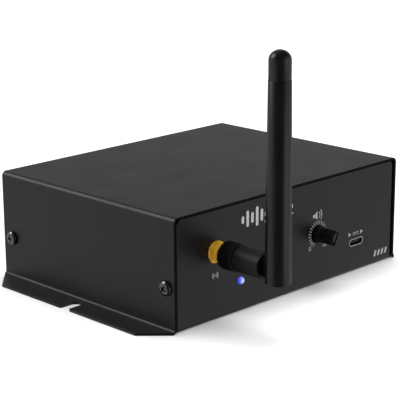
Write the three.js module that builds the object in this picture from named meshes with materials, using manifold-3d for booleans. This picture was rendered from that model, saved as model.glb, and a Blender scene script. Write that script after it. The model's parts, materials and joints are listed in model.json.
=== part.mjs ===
// Bluetooth audio receiver: a folded steel case with two slotted feet, an aerial that swivels and tilts,
// a splined volume control, a pairing button, a status light, a USB-C inlet and two output connectors.
// Millimetres, +Z up, front panel towards -Y. The origin is the middle of the underside.

import * as THREE from 'three';
import { mergeVertices } from 'three/addons/utils/BufferGeometryUtils.js';
import Module from 'manifold-3d';

const wasm = await Module();
wasm.setup();

// Driving dimensions, by group.

// Case
const bodyWidth = 129;
const bodyDepth = 100;
const bodyHeight = 44;
const sheet = 1.0;
const coverBend = 2.0;          // outside radius of each cover bend
const trayBend = 1.6;           // outside radius of the tray's two bends
const coverGap = 0.3;           // tray to cover, all round
const panelRecess = 0.4;        // how far the panels sit inside the cover's ends
const footWidth = 10.5;
const footFrontChamfer = 9.9;   // length along the foot's outer edge
const footRearChamfer = 11.0;
const footRoot = 0.6;           // from the wall to where the chamfer starts
const slotWidth = 4.8;
const slotDepth = 7.8;
const slotMouthRadius = 0.8;
const flangeDepth = 8;          // side flanges of both panels, which take the cover screws
const flangeTopGap = 1.5;       // flange's top under the cover's bend

// Screws
const coverScrewFrontInset = 4.4;   // from the cover's end to the screw's axis
const coverScrewRearInset = 5.5;
const coverScrewHeight = 17;
const screwRadius = 1.5;
const screwHeadRadius = 2.9;
const screwHeadHeight = 1.8;
const screwLength = 6;
const threadGap = 0.06;
const screwClearance = 0.2;     // hole over screw, where it passes freely
const seatGap = 0.02;           // between faces that bear on each other

// Board
const boardTop = 11.0;
const boardThickness = 1.6;
const boardSideGap = 5.25;      // board's edge to the side flanges
const boardFrontGap = 0.6;      // board to front panel
const boardTailMargin = 4.8;    // board beyond the row of outlet tails
const standoffSideInset = 7.0;  // from the board's side edges
const standoffInset = 7.4;      // from the board's front and rear edges
const standoffFlats = 5.5;
const spigotRadius = 2.0;
const boardScrewRadius = 1.25;
const boardScrewHead = 2.3;
const boardScrewHeadHeight = 1.6;
const boardScrewLength = 6;
const chipHeight = 1.6;
const coilHeight = 4;
const capacitorRadius = 3.15;
const capacitorHeight = 8;
const capacitorShoulder = 0.5;
const capacitorPlaces = [[24, -18], [24, -4], [24, 10]];

// Aerial connector and aerial
const aerialInset = 21.9;       // from the cover's left wall
const aerialZ = 26.8;
const jackRadius = 3.17;
const jackReach = 9.2;          // barrel beyond the panel
const jackBore = 2.05;
const nutFlats = 8;
const nutThickness = 2.1;
const washerRadius = 4.3;
const washerThickness = 0.5;
const couplingRadius = 5.3;
const couplingStart = 5.0;      // from the panel's face
const couplingEnd = 12.2;
const coreRadius = 2.35;
const runningGap = 0.07;        // radial, where one piece turns in another
const armRadius = 4.9;
const armStart = 12.4;
const hingeReach = 30.7;         // panel's face to the hinge pin's axis
const hingeRelief = 5.7;        // hinge axis to the arm's end face
const tongueHalfHeight = 3.5;
const tongueThickness = 3.6;
const tongueSideGap = 0.2;
const tongueEndGap = 0.4;
const hingePinRadius = 1.0;
const whipFootRadius = 4.9;
const whipTopRadius = 4.15;
const whipBelowHinge = 5.3;
const whipSeam = 68;            // hinge axis to the joint between sleeve and cap
const whipTip = 78.6;           // hinge axis to the tip
const whipBore = 2.55;
const whipBoreStart = 8;
const whipFootEase = 1.0;
const whipDome = 3.7;           // height of the cap's rounded end
const whipSpigot = 5;           // cap's plug inside the sleeve
const whipSeamGap = 0.1;
const radiatorRadius = 0.8;
const pinEndInset = 1.2;        // hinge pin's ends under the whip's surface

// Front panel controls
const ledX = -29.6;
const ledRadius = 1.5;
const buttonX = -9;
const buttonZ = 18.5;
const buttonRadius = 1.75;
const ledTail = 3.5;            // light's back beyond the panel's face
const holderWidth = 5;
const buttonReach = 0.9;
const buttonTravel = 0.5;
const buttonEase = 0.25;
const buttonCollar = 2.5;       // radius of the collar that keeps the button in
const buttonStemRadius = 1.0;
const buttonStemLength = 4.4;
const switchHalf = 3;
const volumeX = 15.1;
const volumeZ = 21.1;
const bushingRadius = 3.5;
const bushingReach = 3.0;
const shaftRadius = 3.0;
const shaftReach = 9.6;
const spindleRadius = 1.9;
const splineCount = 18;
const splineDepth = 0.3;
const shaftStart = 0.2;         // bushing's end to the splined grip
const shaftEase = 0.9;
const shaftSlotHalf = 0.45;
const shaftSlotDepth = 3;
const spindleDepth = 5;         // spindle behind the panel's inner face
const volumeBoxHalf = 5.5;
const volumeBoxDepth = 7;
const volumeBoxGap = 0.5;
const shaftTurn = 32;           // degrees clockwise from upright, where the slot rests
const usbInset = 25.1;          // from the cover's right wall
const usbWidth = 8.94;
const usbHeight = 3.16;
const usbWall = 0.3;
const usbDepth = 7.4;
const usbReach = 0.15;          // shell's rim in front of the panel
const tongueWidth = 6.7;
const tongueHeight = 0.7;
const tongueInset = 0.9;        // from the shell's rim
const tongueBase = 1.8;
const tongueBaseRadius = 0.9;
const panelHoleGap = 0.12;      // panel hole over a fixed piece that passes through it

// Rear output connectors
const outletX = 22;
const outletZ = 22;
const outletFlangeWidth = 26;
const outletFlangeHeight = 31;
const outletFlangeThickness = 2.2;
const outletRimReach = 0.8;
const outletBarrel = 9.6;
const outletBore = 7.6;
const outletLength = 21;
const outletInsertDepth = 5.8;
const outletFlangeCorner = 2.5;
const outletPinRise = 1;        // upper pair of pins above the connector's axis
const outletPinRadius = 1.2;
const outletPinReach = 10;
const outletPinSpread = 4.0;
const outletTailHalf = 0.4;     // half width of a pin's square tail
const outletTailHole = 0.75;
const outletScrewX = 9.5;
const outletScrewZ = 12;

// Values that follow from them.

const halfWidth = bodyWidth / 2;
const halfDepth = bodyDepth / 2;
const innerBend = coverBend - sheet;
const trayHalfWidth = halfWidth - sheet - coverGap;
const trayHeight = bodyHeight - sheet - coverGap;
const panelY = -halfDepth + panelRecess;
const rearPanelY = halfDepth - panelRecess;
const footEdge = halfWidth + footWidth;
const aerialX = aerialInset - halfWidth;
const usbX = halfWidth - usbInset;
const outletFace = rearPanelY + seatGap + outletFlangeThickness;
const outletRim = outletFace + outletRimReach;
const outletBack = outletRim - outletLength;
const outletInsertBack = outletBack + 0.4;
const outletInsertFront = outletInsertBack + outletInsertDepth;
const outletTailY = outletBack - 1;
const boardBottom = boardTop - boardThickness;
const boardHalfWidth = trayHalfWidth - sheet - boardSideGap;
const boardFront = panelY + sheet + boardFrontGap;
const boardRear = outletTailY + boardTailMargin;
const standoffX = boardHalfWidth - standoffSideInset;
const standoffYs = [boardFront + standoffInset, boardRear - standoffInset];
const hingeY = panelY - hingeReach;
const seatedTop = boardTop + seatGap;
const ledZ = boardTop + ledRadius + seatGap;
const usbZ = seatedTop + usbHeight / 2;
const coarse = 12;
const medium = 20;
const fine = 28;

// Materials.

const finish = (color, roughness, metalness = 0) =>
  new THREE.MeshStandardMaterial({ color, roughness, metalness });

const coverPaint = finish(0x1d1d1f, 0.45, 0.1);
const trayPaint = finish(0x19191b, 0.5, 0.1);
const blackSteel = finish(0x2a2a2c, 0.25, 0.9);
const zincSteel = finish(0x9a9a9a, 0.35, 0.9);
const gilt = finish(0xc99a3a, 0.25, 1);
const blackPlastic = finish(0x141415, 0.5);
const aerialPlastic = finish(0x18181a, 0.42);
const whitePlastic = finish(0xe8e6e0, 0.6);
const boardGreen = finish(0x12351f, 0.4);
const tinPlate = finish(0xb8b8b4, 0.3, 0.9);
const chipPlastic = finish(0x1a1a1c, 0.6);
const blueLens = finish(0x6f86ff, 0.15);
const ferrite = finish(0x3a3a3c, 0.7);
const capacitorSleeve = finish(0x23252c, 0.4);

// Helpers.

const radians = THREE.MathUtils.degToRad;
const alongX = new THREE.Matrix4().makeBasis(
  new THREE.Vector3(0, 1, 0), new THREE.Vector3(0, 0, 1), new THREE.Vector3(1, 0, 0));
const alongBack = new THREE.Matrix4().makeBasis(
  new THREE.Vector3(1, 0, 0), new THREE.Vector3(0, 0, 1), new THREE.Vector3(0, -1, 0));

function solidOf(geometry) {
  const bare = geometry.clone();
  bare.deleteAttribute('normal');
  bare.deleteAttribute('uv');
  const merged = mergeVertices(bare, 1e-5);
  return new wasm.Manifold(new wasm.Mesh({
    numProp: 3,
    vertProperties: new Float32Array(merged.attributes.position.array),
    triVerts: new Uint32Array(merged.index.array),
  }));
}

function geometryOf(solid) {
  const mesh = solid.getMesh();
  const geometry = new THREE.BufferGeometry();
  geometry.setAttribute('position', new THREE.BufferAttribute(new Float32Array(mesh.vertProperties), 3));
  geometry.setIndex(new THREE.BufferAttribute(new Uint32Array(mesh.triVerts), 1));
  return geometry;
}

// Joins the first list of shapes and cuts the second list out of them.
function carve(joined, removed = []) {
  let solid = joined.map(solidOf).reduce((whole, piece) => whole.add(piece));
  for (const cutter of removed) solid = solid.subtract(solidOf(cutter));
  return geometryOf(solid);
}

function block(x0, x1, y0, y1, z0, z1) {
  return new THREE.BoxGeometry(x1 - x0, y1 - y0, z1 - z0)
    .translate((x0 + x1) / 2, (y0 + y1) / 2, (z0 + z1) / 2);
}

function rodX(radius, x0, x1, y, z, sides = medium) {
  return new THREE.CylinderGeometry(radius, radius, x1 - x0, sides)
    .rotateZ(Math.PI / 2).translate((x0 + x1) / 2, y, z);
}

function rodY(radius, y0, y1, x, z, sides = medium) {
  return new THREE.CylinderGeometry(radius, radius, y1 - y0, sides).translate(x, (y0 + y1) / 2, z);
}

function rodZ(radius, z0, z1, x, y, sides = medium) {
  return new THREE.CylinderGeometry(radius, radius, z1 - z0, sides)
    .rotateX(Math.PI / 2).translate(x, y, (z0 + z1) / 2);
}

// A profile of [radius, distance] pairs, turned about an axis that leaves the front panel at x, z.
function turnedForward(profile, x, z, sides = medium) {
  return new THREE.LatheGeometry(profile.map(([r, d]) => new THREE.Vector2(r, d)), sides)
    .rotateZ(Math.PI).translate(x, panelY, z);
}

// The same about an upright axis through x, y, with heights measured from base.
function turnedUp(profile, x, y, base, sides = medium) {
  return new THREE.LatheGeometry(profile.map(([r, h]) => new THREE.Vector2(r, h)), sides)
    .rotateX(Math.PI / 2).translate(x, y, base);
}

function outline(points) {
  return new THREE.Shape(points.map(([u, v]) => new THREE.Vector2(u, v)));
}

function prism(points, depth) {
  return new THREE.ExtrudeGeometry(outline(points), { depth, bevelEnabled: false });
}

// Points of an arc, in degrees, both ends included.
function arc(u, v, radius, from, to, steps = 6) {
  return Array.from({ length: steps + 1 }, (unused, i) => {
    const angle = radians(from + (to - from) * i / steps);
    return [u + radius * Math.cos(angle), v + radius * Math.sin(angle)];
  });
}

function roundedRectangle(width, height, radius, steps = 4) {
  const u = width / 2 - radius;
  const v = height / 2 - radius;
  return [
    ...arc(u, v, radius, 0, 90, steps), ...arc(-u, v, radius, 90, 180, steps),
    ...arc(-u, -v, radius, 180, 270, steps), ...arc(u, -v, radius, 270, 360, steps),
  ];
}

// A prism of an x, z outline, centred on x, z and filling y0 to y1.
function plateY(points, x, z, y0, y1) {
  return prism(points, y1 - y0).applyMatrix4(alongBack).translate(x, y1, z);
}

function hexagon(flats, turn = 0) {
  return arc(0, 0, flats / Math.sqrt(3), turn, turn + 300, 5);
}

const receiver = new THREE.Group();

function addPart(name, geometry, material) {
  const mesh = new THREE.Mesh(geometry, material);
  mesh.name = name;
  receiver.add(mesh);
}

// Case.

// Section of the cover across its width: roof, two walls and two feet, one sheet all through.
function coverSection() {
  const right = [
    ...arc(halfWidth - coverBend, bodyHeight - coverBend, coverBend, 90, 0),
    ...arc(halfWidth + innerBend, coverBend, innerBend, 180, 270),
    [footEdge, sheet],
    [footEdge, 0],
    ...arc(halfWidth + innerBend, coverBend, coverBend, 270, 180),
    ...arc(halfWidth - coverBend, bodyHeight - coverBend, innerBend, 0, 90),
  ];
  const left = right.map(([x, z]) => [-x, z]).reverse();
  return [...right, ...left];
}

// Cuts a foot's corner along the line from its root at the cover's end to its outer edge.
function footCornerCutter(side, end, chamfer) {
  const over = 2;
  const root = new THREE.Vector2(side * (halfWidth + footRoot), end * halfDepth);
  const tip = new THREE.Vector2(side * footEdge, end * (halfDepth - chamfer));
  const step = tip.clone().sub(root).normalize().multiplyScalar(over);
  const corner = new THREE.Vector2(side * (footEdge + over), end * (halfDepth + over));
  const points = [root.sub(step), tip.add(step), corner].map((p) => [p.x, p.y]);
  return prism(points, coverBend + 1).translate(0, 0, -0.5);
}

// An open-ended slot with a round bottom and eased mouth corners.
function footSlotCutter(side) {
  const half = slotWidth / 2;
  const over = 1;
  const eased = footEdge - slotMouthRadius;
  const points = [
    [footEdge + over, -half - slotMouthRadius],
    ...arc(eased, -half - slotMouthRadius, slotMouthRadius, 0, 90, 4),
    ...arc(footEdge - slotDepth + half, 0, half, 270, 90, 10),
    ...arc(eased, half + slotMouthRadius, slotMouthRadius, 270, 360, 4),
    [footEdge + over, half + slotMouthRadius],
  ].map(([x, y]) => [side * x, y]);
  return prism(points, sheet + 1).translate(0, 0, -0.5);
}

function coverScrewPlaces() {
  const front = coverScrewFrontInset - halfDepth;
  const rear = halfDepth - coverScrewRearInset;
  return [[-1, front], [-1, rear], [1, front], [1, rear]];
}

function makeCover() {
  const folded = prism(coverSection(), bodyDepth).applyMatrix4(alongBack).translate(0, halfDepth, 0);
  const cutters = [];
  for (const side of [-1, 1]) {
    cutters.push(footCornerCutter(side, -1, footFrontChamfer));
    cutters.push(footCornerCutter(side, 1, footRearChamfer));
    cutters.push(footSlotCutter(side));
  }
  for (const [side, y] of coverScrewPlaces()) {
    const x = side * halfWidth;
    cutters.push(rodX(screwRadius + screwClearance, x - 2, x + 2, y, coverScrewHeight, coarse));
  }
  addPart('top_cover', carve([folded], cutters), coverPaint);
}

// Section of the tray along its depth: front panel, floor and rear panel.
function traySection() {
  const inner = trayBend - sheet;
  const rear = [
    ...arc(rearPanelY - trayBend, trayBend, trayBend, 270, 360, 4),
    [rearPanelY, trayHeight],
    [rearPanelY - sheet, trayHeight],
    ...arc(rearPanelY - trayBend, trayBend, inner, 360, 270, 4),
  ];
  const front = rear.map(([y, z]) => [-y, z]).reverse();
  return [...rear, ...front];
}

// Takes the panels' top corners off where the cover's bends pass over them.
function trayCornerCutter(side) {
  const clip = coverBend;
  const points = [
    [trayHalfWidth - clip, trayHeight],
    [trayHalfWidth, trayHeight - clip],
    [trayHalfWidth + clip, trayHeight + clip],
  ].map(([x, z]) => [side * x, z]);
  return plateY(points, 0, 0, -halfDepth, halfDepth);
}

function makeTray() {
  const folded = prism(traySection(), 2 * trayHalfWidth).applyMatrix4(alongX).translate(-trayHalfWidth, 0, 0);
  const flanges = [];
  const flangeTop = bodyHeight - coverBend - flangeTopGap;
  const cutters = [];
  const over = 1;
  for (const [side, y] of coverScrewPlaces()) {
    const end = Math.sign(y);
    const near = rearPanelY - sheet / 2;
    const ys = [end * near, end * (near - flangeDepth)].sort((a, b) => a - b);
    const xs = [side * trayHalfWidth, side * (trayHalfWidth - sheet)].sort((a, b) => a - b);
    flanges.push(block(...xs, ...ys, sheet / 2, flangeTop));
    cutters.push(rodX(screwRadius + threadGap, xs[0] - over, xs[1] + over, y, coverScrewHeight, coarse));
  }
  for (const side of [-1, 1]) cutters.push(trayCornerCutter(side));
  const front = [panelY - over, panelY + sheet + over];
  cutters.push(rodY(jackRadius + panelHoleGap, ...front, aerialX, aerialZ));
  cutters.push(rodY(ledRadius + panelHoleGap, ...front, ledX, ledZ));
  cutters.push(rodY(buttonRadius + runningGap, ...front, buttonX, buttonZ));
  cutters.push(rodY(bushingRadius + panelHoleGap, ...front, volumeX, volumeZ));
  const inlet = roundedRectangle(usbWidth + 2 * panelHoleGap, usbHeight + 2 * panelHoleGap,
    usbHeight / 2 + panelHoleGap - 0.01);
  cutters.push(plateY(inlet, usbX, usbZ, ...front));
  const rear = [rearPanelY - sheet - over, rearPanelY + over];
  for (const side of [-1, 1]) {
    cutters.push(rodY(outletBarrel + panelHoleGap, ...rear, side * outletX, outletZ, fine));
    for (const [x, z] of outletScrewPlaces(side)) {
      cutters.push(rodY(screwRadius + threadGap, ...rear, x, z, coarse));
    }
  }
  for (const [x, y] of standoffPlaces()) {
    cutters.push(rodZ(spigotRadius + threadGap, -over, sheet + over, x, y, coarse));
  }
  addPart('chassis_tray', carve([folded, ...flanges], cutters), trayPaint);
}

// Pan-head screw with a cross recess, standing on its head's seat at the origin, head towards +Y.
function crossHeadScrew(radius, length, headRadius, headHeight) {
  const body = new THREE.LatheGeometry([
    [0, -length], [radius, -length], [radius, 0], [headRadius, 0],
    [headRadius, headHeight * 0.45], [headRadius * 0.8, headHeight * 0.85], [headRadius * 0.45, headHeight],
    [0, headHeight],
  ].map(([r, h]) => new THREE.Vector2(r, h)), coarse);
  const arm = headRadius * 0.55;
  const web = headRadius * 0.11;
  const floor = headHeight * 0.35;
  const recess = [
    block(-arm, arm, floor, headHeight + 1, -web, web),
    block(-web, web, floor, headHeight + 1, -arm, arm),
  ];
  return carve([body], recess);
}

function makeCoverScrews() {
  coverScrewPlaces().forEach(([side, y], index) => {
    const screw = crossHeadScrew(screwRadius, screwLength, screwHeadRadius, screwHeadHeight)
      .rotateZ(-side * Math.PI / 2)
      .translate(side * (halfWidth + seatGap), y, coverScrewHeight);
    addPart(`cover_screw_${index + 1}`, screw, blackSteel);
  });
}

// Board and what stands on it.

function standoffPlaces() {
  return standoffYs.flatMap((y) => [[-standoffX, y], [standoffX, y]]);
}

function makeBoard() {
  const slab = block(-boardHalfWidth, boardHalfWidth, boardFront, boardRear, boardBottom, boardTop);
  const cutters = standoffPlaces().map(([x, y]) =>
    rodZ(boardScrewRadius + screwClearance, boardBottom - 1, boardTop + 1, x, y, coarse));
  for (const side of [-1, 1]) {
    for (const [x] of outletPinPlaces(side)) {
      cutters.push(rodZ(outletTailHole, boardBottom - 1, boardTop + 1, x, outletTailY, coarse));
    }
  }
  addPart('main_board', carve([slab], cutters), boardGreen);
}

function makeStandoffs() {
  standoffPlaces().forEach(([x, y], index) => {
    const post = prism(hexagon(standoffFlats), boardBottom - sheet - 2 * seatGap)
      .translate(x, y, sheet + seatGap);
    const spigot = rodZ(spigotRadius, 0.1, sheet + 1, x, y, coarse);
    const tapped = rodZ(boardScrewRadius + threadGap, boardBottom - boardScrewLength, boardTop,
      x, y, coarse);
    addPart(`standoff_${index + 1}`, carve([post, spigot], [tapped]), zincSteel);
    const screw = crossHeadScrew(boardScrewRadius, boardScrewLength, boardScrewHead, boardScrewHeadHeight)
      .rotateX(Math.PI / 2)
      .translate(x, y, seatedTop);
    addPart(`board_screw_${index + 1}`, screw, zincSteel);
  });
}

// A block standing on the board, centred on x, y.
function onBoard(x, y, width, depth, height) {
  return block(x - width / 2, x + width / 2, y - depth / 2, y + depth / 2, seatedTop, seatedTop + height);
}

function makeBoardParts() {
  addPart('converter_chip', onBoard(-6, -6, 9, 9, chipHeight), chipPlastic);
  addPart('driver_chip', onBoard(-6, 16, 10, 6, chipHeight), chipPlastic);
  addPart('regulator_coil', onBoard(38, -16, 8, 8, coilHeight), ferrite);
  capacitorPlaces.forEach(([x, y], index) => {
    const can = turnedUp([
      [0, 0], [capacitorRadius, 0], [capacitorRadius, capacitorHeight - capacitorShoulder],
      [capacitorRadius - capacitorShoulder, capacitorHeight], [0, capacitorHeight],
    ], x, y, seatedTop);
    addPart(`capacitor_${index + 1}`, can, capacitorSleeve);
  });
}

const moduleX = aerialX;
const moduleY = -12;
const moduleWidth = 15;
const moduleDepth = 26;
const moduleThickness = 0.8;
const moduleTop = seatedTop + moduleThickness;
const leadRadius = 0.65;
const leadPlugRadius = 1.4;
const leadPlugHeight = 1.6;
const leadPlugY = moduleY - moduleDepth / 2 + 3.5;
const shieldRim = 1.2;          // module's edge to its shield
const shieldFrontGap = 7;       // room in front of the shield for the lead's plug
const shieldHeight = 2.2;

function makeRadioModule() {
  const x0 = moduleX - moduleWidth / 2;
  const y0 = moduleY - moduleDepth / 2;
  const base = block(x0, x0 + moduleWidth, y0, y0 + moduleDepth, seatedTop, moduleTop);
  addPart('radio_board', base, boardGreen);
  const can = block(x0 + shieldRim, x0 + moduleWidth - shieldRim,
    y0 + shieldFrontGap, y0 + moduleDepth - shieldRim, moduleTop + seatGap, moduleTop + shieldHeight);
  addPart('radio_shield', can, tinPlate);
}

// The lead leaves the back of the connector, turns down and drops into its plug on the module.
function makeAerialLead() {
  const plugBase = moduleTop + seatGap;
  const plug = rodZ(leadPlugRadius, plugBase, plugBase + leadPlugHeight, moduleX, leadPlugY);
  addPart('aerial_lead_plug', plug, gilt);
  const startY = panelY + jackTail + seatGap;
  const bottom = plugBase + leadPlugHeight + seatGap;
  const reach = 6;
  const route = new THREE.CubicBezierCurve3(
    new THREE.Vector3(aerialX, startY, aerialZ),
    new THREE.Vector3(aerialX, startY + 2 * reach, aerialZ),
    new THREE.Vector3(moduleX, leadPlugY, bottom + 2 * reach),
    new THREE.Vector3(moduleX, leadPlugY, bottom));
  const section = outline(arc(0, 0, leadRadius, 0, 360 - 45, 7));
  const lead = new THREE.ExtrudeGeometry(section, { steps: 20, extrudePath: route, bevelEnabled: false });
  addPart('aerial_lead', lead, blackPlastic);
}

// Aerial connector.

const jackTail = 12;
const jackTailRadius = 1.6;
const jackNeckRadius = 3.0;
const jackNeckEnds = [4, 7];    // behind the panel's face
const jackLip = 0.3;
const jackBoreDepth = 6;
const jackHexBack = 2.5;        // back hexagon beyond the panel's inner face
const contactRadius = 0.55;
const contactStart = 4.5;       // where the insulator's contact bore starts

function makeConnector() {
  const [neckFront, neckBack] = jackNeckEnds;
  const body = turnedForward([
    [0, -jackTail], [jackTailRadius, -jackTail], [jackTailRadius, -neckBack],
    [jackNeckRadius, -neckBack], [jackNeckRadius, -neckFront], [jackRadius, -neckFront],
    [jackRadius, jackReach - jackLip], [jackRadius - jackLip, jackReach], [jackBore, jackReach],
    [jackBore, -jackBoreDepth], [0, -jackBoreDepth],
  ], aerialX, aerialZ);
  const backHex = plateY(hexagon(nutFlats, 30), aerialX, aerialZ,
    panelY + sheet + seatGap, panelY + sheet + jackHexBack);
  const bore = rodY(jackBore, panelY - jackReach - 1, panelY + jackBoreDepth, aerialX, aerialZ);
  addPart('sma_jack', carve([body, backHex], [bore]), gilt);

  const insulatorRadius = jackBore - threadGap;
  const insulatorBack = -jackBoreDepth + 0.1;
  const contactHole = contactRadius + runningGap;
  const insulator = turnedForward([
    [0, insulatorBack], [insulatorRadius, insulatorBack], [insulatorRadius, jackReach - jackLip],
    [contactHole, jackReach - jackLip], [contactHole, contactStart], [0, contactStart],
  ], aerialX, aerialZ);
  addPart('sma_insulator', insulator, whitePlastic);

  const washer = turnedForward([
    [jackRadius + panelHoleGap, seatGap], [washerRadius, seatGap], [washerRadius, washerThickness],
    [jackRadius + panelHoleGap, washerThickness], [jackRadius + panelHoleGap, seatGap],
  ], aerialX, aerialZ);
  addPart('sma_lock_washer', washer, gilt);

  const nutBack = panelY - washerThickness - seatGap;
  const nut = plateY(hexagon(nutFlats, 30), aerialX, aerialZ, nutBack - nutThickness, nutBack);
  const thread = rodY(jackRadius + threadGap, nutBack - nutThickness - 1, nutBack + 1, aerialX, aerialZ);
  addPart('sma_panel_nut', carve([nut], [thread]), gilt);
}

// Aerial.

const shoulderDistance = couplingEnd - 1.9;
const coreBack = jackReach + 0.3;
const coreEnd = armStart + 5;
const coreHeadRadius = jackRadius - 0.1;
const couplingBore = jackRadius + 0.13;
const couplingEase = 0.5;

function makeCouplingNut() {
  const outer = couplingRadius;
  const ease = couplingEase;
  const ring = turnedForward([
    [couplingBore, couplingStart], [outer - ease, couplingStart], [outer, couplingStart + ease],
    [outer, couplingEnd - ease], [outer - ease, couplingEnd], [coreRadius + runningGap, couplingEnd],
    [coreRadius + runningGap, shoulderDistance], [couplingBore, shoulderDistance],
    [couplingBore, couplingStart],
  ], aerialX, aerialZ);
  addPart('antenna_coupling_nut', ring, blackPlastic);
}

function makePlugCore() {
  const core = turnedForward([
    [0, contactStart + 1], [contactRadius, contactStart + 1], [contactRadius, coreBack],
    [coreHeadRadius, coreBack], [coreHeadRadius, shoulderDistance - 0.2],
    [coreRadius, shoulderDistance - 0.2],
    [coreRadius, coreEnd], [0, coreEnd],
  ], aerialX, aerialZ);
  addPart('antenna_plug_core', core, gilt);
}

function makeArm() {
  const armEnd = hingeReach - hingeRelief;
  const ease = 0.4;
  const barrel = turnedForward([
    [coreRadius + threadGap, armStart], [armRadius - ease, armStart], [armRadius, armStart + ease],
    [armRadius, armEnd - ease], [armRadius - ease, armEnd], [0, armEnd],
    [0, coreEnd + 0.2], [coreRadius + threadGap, coreEnd + 0.2], [coreRadius + threadGap, armStart],
  ], aerialX, aerialZ);
  const tongue = [
    [hingeRelief + 1, -tongueHalfHeight],
    [hingeRelief + 1, tongueHalfHeight],
    ...arc(0, 0, tongueHalfHeight, 90, 270, 12),
  ];
  const blade = prism(tongue, tongueThickness).applyMatrix4(alongX)
    .translate(aerialX - tongueThickness / 2, hingeY, aerialZ);
  const hole = rodX(hingePinRadius + runningGap, aerialX - 3, aerialX + 3, hingeY, aerialZ);
  addPart('antenna_arm', carve([barrel, blade], [hole]), aerialPlastic);
}

// The whip's foot is forked: the arm's tongue can swing in it from the rear to the underside.
function whipForkCutters() {
  const reach = tongueHalfHeight + tongueEndGap;
  const half = tongueThickness / 2 + tongueSideGap;
  const x0 = aerialX - half;
  const x1 = aerialX + half;
  const far = whipFootRadius + 2;
  const low = whipBelowHinge + 2;
  return [
    rodX(reach, x0, x1, hingeY, aerialZ, fine),
    block(x0, x1, hingeY, hingeY + far, aerialZ - low, aerialZ + reach),
    block(x0, x1, hingeY - reach, hingeY + far, aerialZ - low, aerialZ),
  ];
}

// Takes the foot's rear lower corner back to a round about the hinge, so that it clears the arm.
function whipFootRounding() {
  const far = whipFootRadius + 3;
  const corner = block(aerialX - far, aerialX + far, hingeY, hingeY + far, aerialZ - far, aerialZ);
  const kept = rodX(whipBelowHinge, aerialX - far - 1, aerialX + far + 1, hingeY, aerialZ, fine);
  return carve([corner], [kept]);
}

function makeWhip() {
  const ease = whipFootEase;
  const sleeve = turnedUp([
    [0, -whipBelowHinge], [whipFootRadius - ease, -whipBelowHinge],
    [whipFootRadius - ease * 0.3, -whipBelowHinge + ease * 0.3], [whipFootRadius, -whipBelowHinge + ease],
    [whipTopRadius, whipSeam], [whipBore, whipSeam], [whipBore, whipBoreStart], [0, whipBoreStart],
  ], aerialX, hingeY, aerialZ, fine);
  const pinHalf = whipFootRadius - pinEndInset;
  const pinRoom = pinHalf + seatGap;
  const pinHole = rodX(hingePinRadius + threadGap / 2, aerialX - pinRoom, aerialX + pinRoom,
    hingeY, aerialZ);
  const leadHole = rodZ(radiatorRadius, aerialZ, aerialZ + whipBoreStart + 1, aerialX, hingeY, coarse);
  const cutters = [...whipForkCutters(), whipFootRounding(), pinHole, leadHole];
  addPart('antenna_sleeve', carve([sleeve], cutters), aerialPlastic);

  const dome = arc(0, 0, 1, 0, 90, 7)
    .map(([u, v]) => [u * whipTopRadius, whipTip - whipDome + v * whipDome]);
  dome[dome.length - 1][0] = 0;
  const cap = turnedUp([
    [0, whipSeam - whipSpigot], [whipBore - threadGap, whipSeam - whipSpigot],
    [whipBore - threadGap, whipSeam + whipSeamGap], [whipTopRadius, whipSeam + whipSeamGap], ...dome,
  ], aerialX, hingeY, aerialZ, fine);
  addPart('antenna_tip_cap', cap, aerialPlastic);

  const start = whipBoreStart + 0.2;
  const wide = whipBore - 0.1;
  const end = whipSeam - whipSpigot - 1;
  const radiator = turnedUp([
    [0, start], [wide, start], [wide, whipSeam / 2],
    [radiatorRadius, whipSeam / 2], [radiatorRadius, end], [0, end],
  ], aerialX, hingeY, aerialZ);
  addPart('antenna_radiator', radiator, gilt);

  const pin = rodX(hingePinRadius, aerialX - pinHalf, aerialX + pinHalf, hingeY, aerialZ);
  addPart('antenna_hinge_pin', pin, zincSteel);
}

// Front panel controls.

function makeLed() {
  const dome = arc(0, 0, 1, 0, 90, 4).map(([u, v]) => [u * ledRadius, v * ledRadius]);
  dome[dome.length - 1][0] = 0;
  const led = turnedForward([[0, -ledTail], [ledRadius, -ledTail], [ledRadius, 0], ...dome.slice(1)],
    ledX, ledZ);
  addPart('status_led', led, blueLens);
  const front = panelY + ledTail + seatGap;
  const half = holderWidth / 2;
  addPart('led_holder', block(ledX - half, ledX + half, front, front + holderWidth,
    seatedTop, seatedTop + holderWidth - 0.5), blackPlastic);
}

function makePairingButton() {
  const collarFront = -sheet - 0.1;
  const collarBack = collarFront - 1;
  const stemBack = collarBack - buttonStemLength;
  const button = turnedForward([
    [0, stemBack], [buttonStemRadius, stemBack], [buttonStemRadius, collarBack],
    [buttonCollar, collarBack], [buttonCollar, collarFront], [buttonRadius, collarFront],
    [buttonRadius, buttonReach - buttonEase], [buttonRadius - buttonEase, buttonReach],
    [0, buttonReach],
  ], buttonX, buttonZ);
  addPart('pairing_button', button, blackPlastic);
  const faceY = collarBack - buttonTravel - 0.9;
  const body = block(buttonX - switchHalf, buttonX + switchHalf, panelY - faceY, panelY - stemBack + 2,
    seatedTop, buttonZ + switchHalf);
  const wellRadius = buttonStemRadius + runningGap;
  const wellBack = stemBack - buttonTravel - 0.5;
  const well = turnedForward([
    [0, wellBack], [wellRadius, wellBack], [wellRadius, faceY + 1], [0, faceY + 1],
  ], buttonX, buttonZ);
  addPart('pairing_switch', carve([body], [well]), chipPlastic);
}

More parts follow.
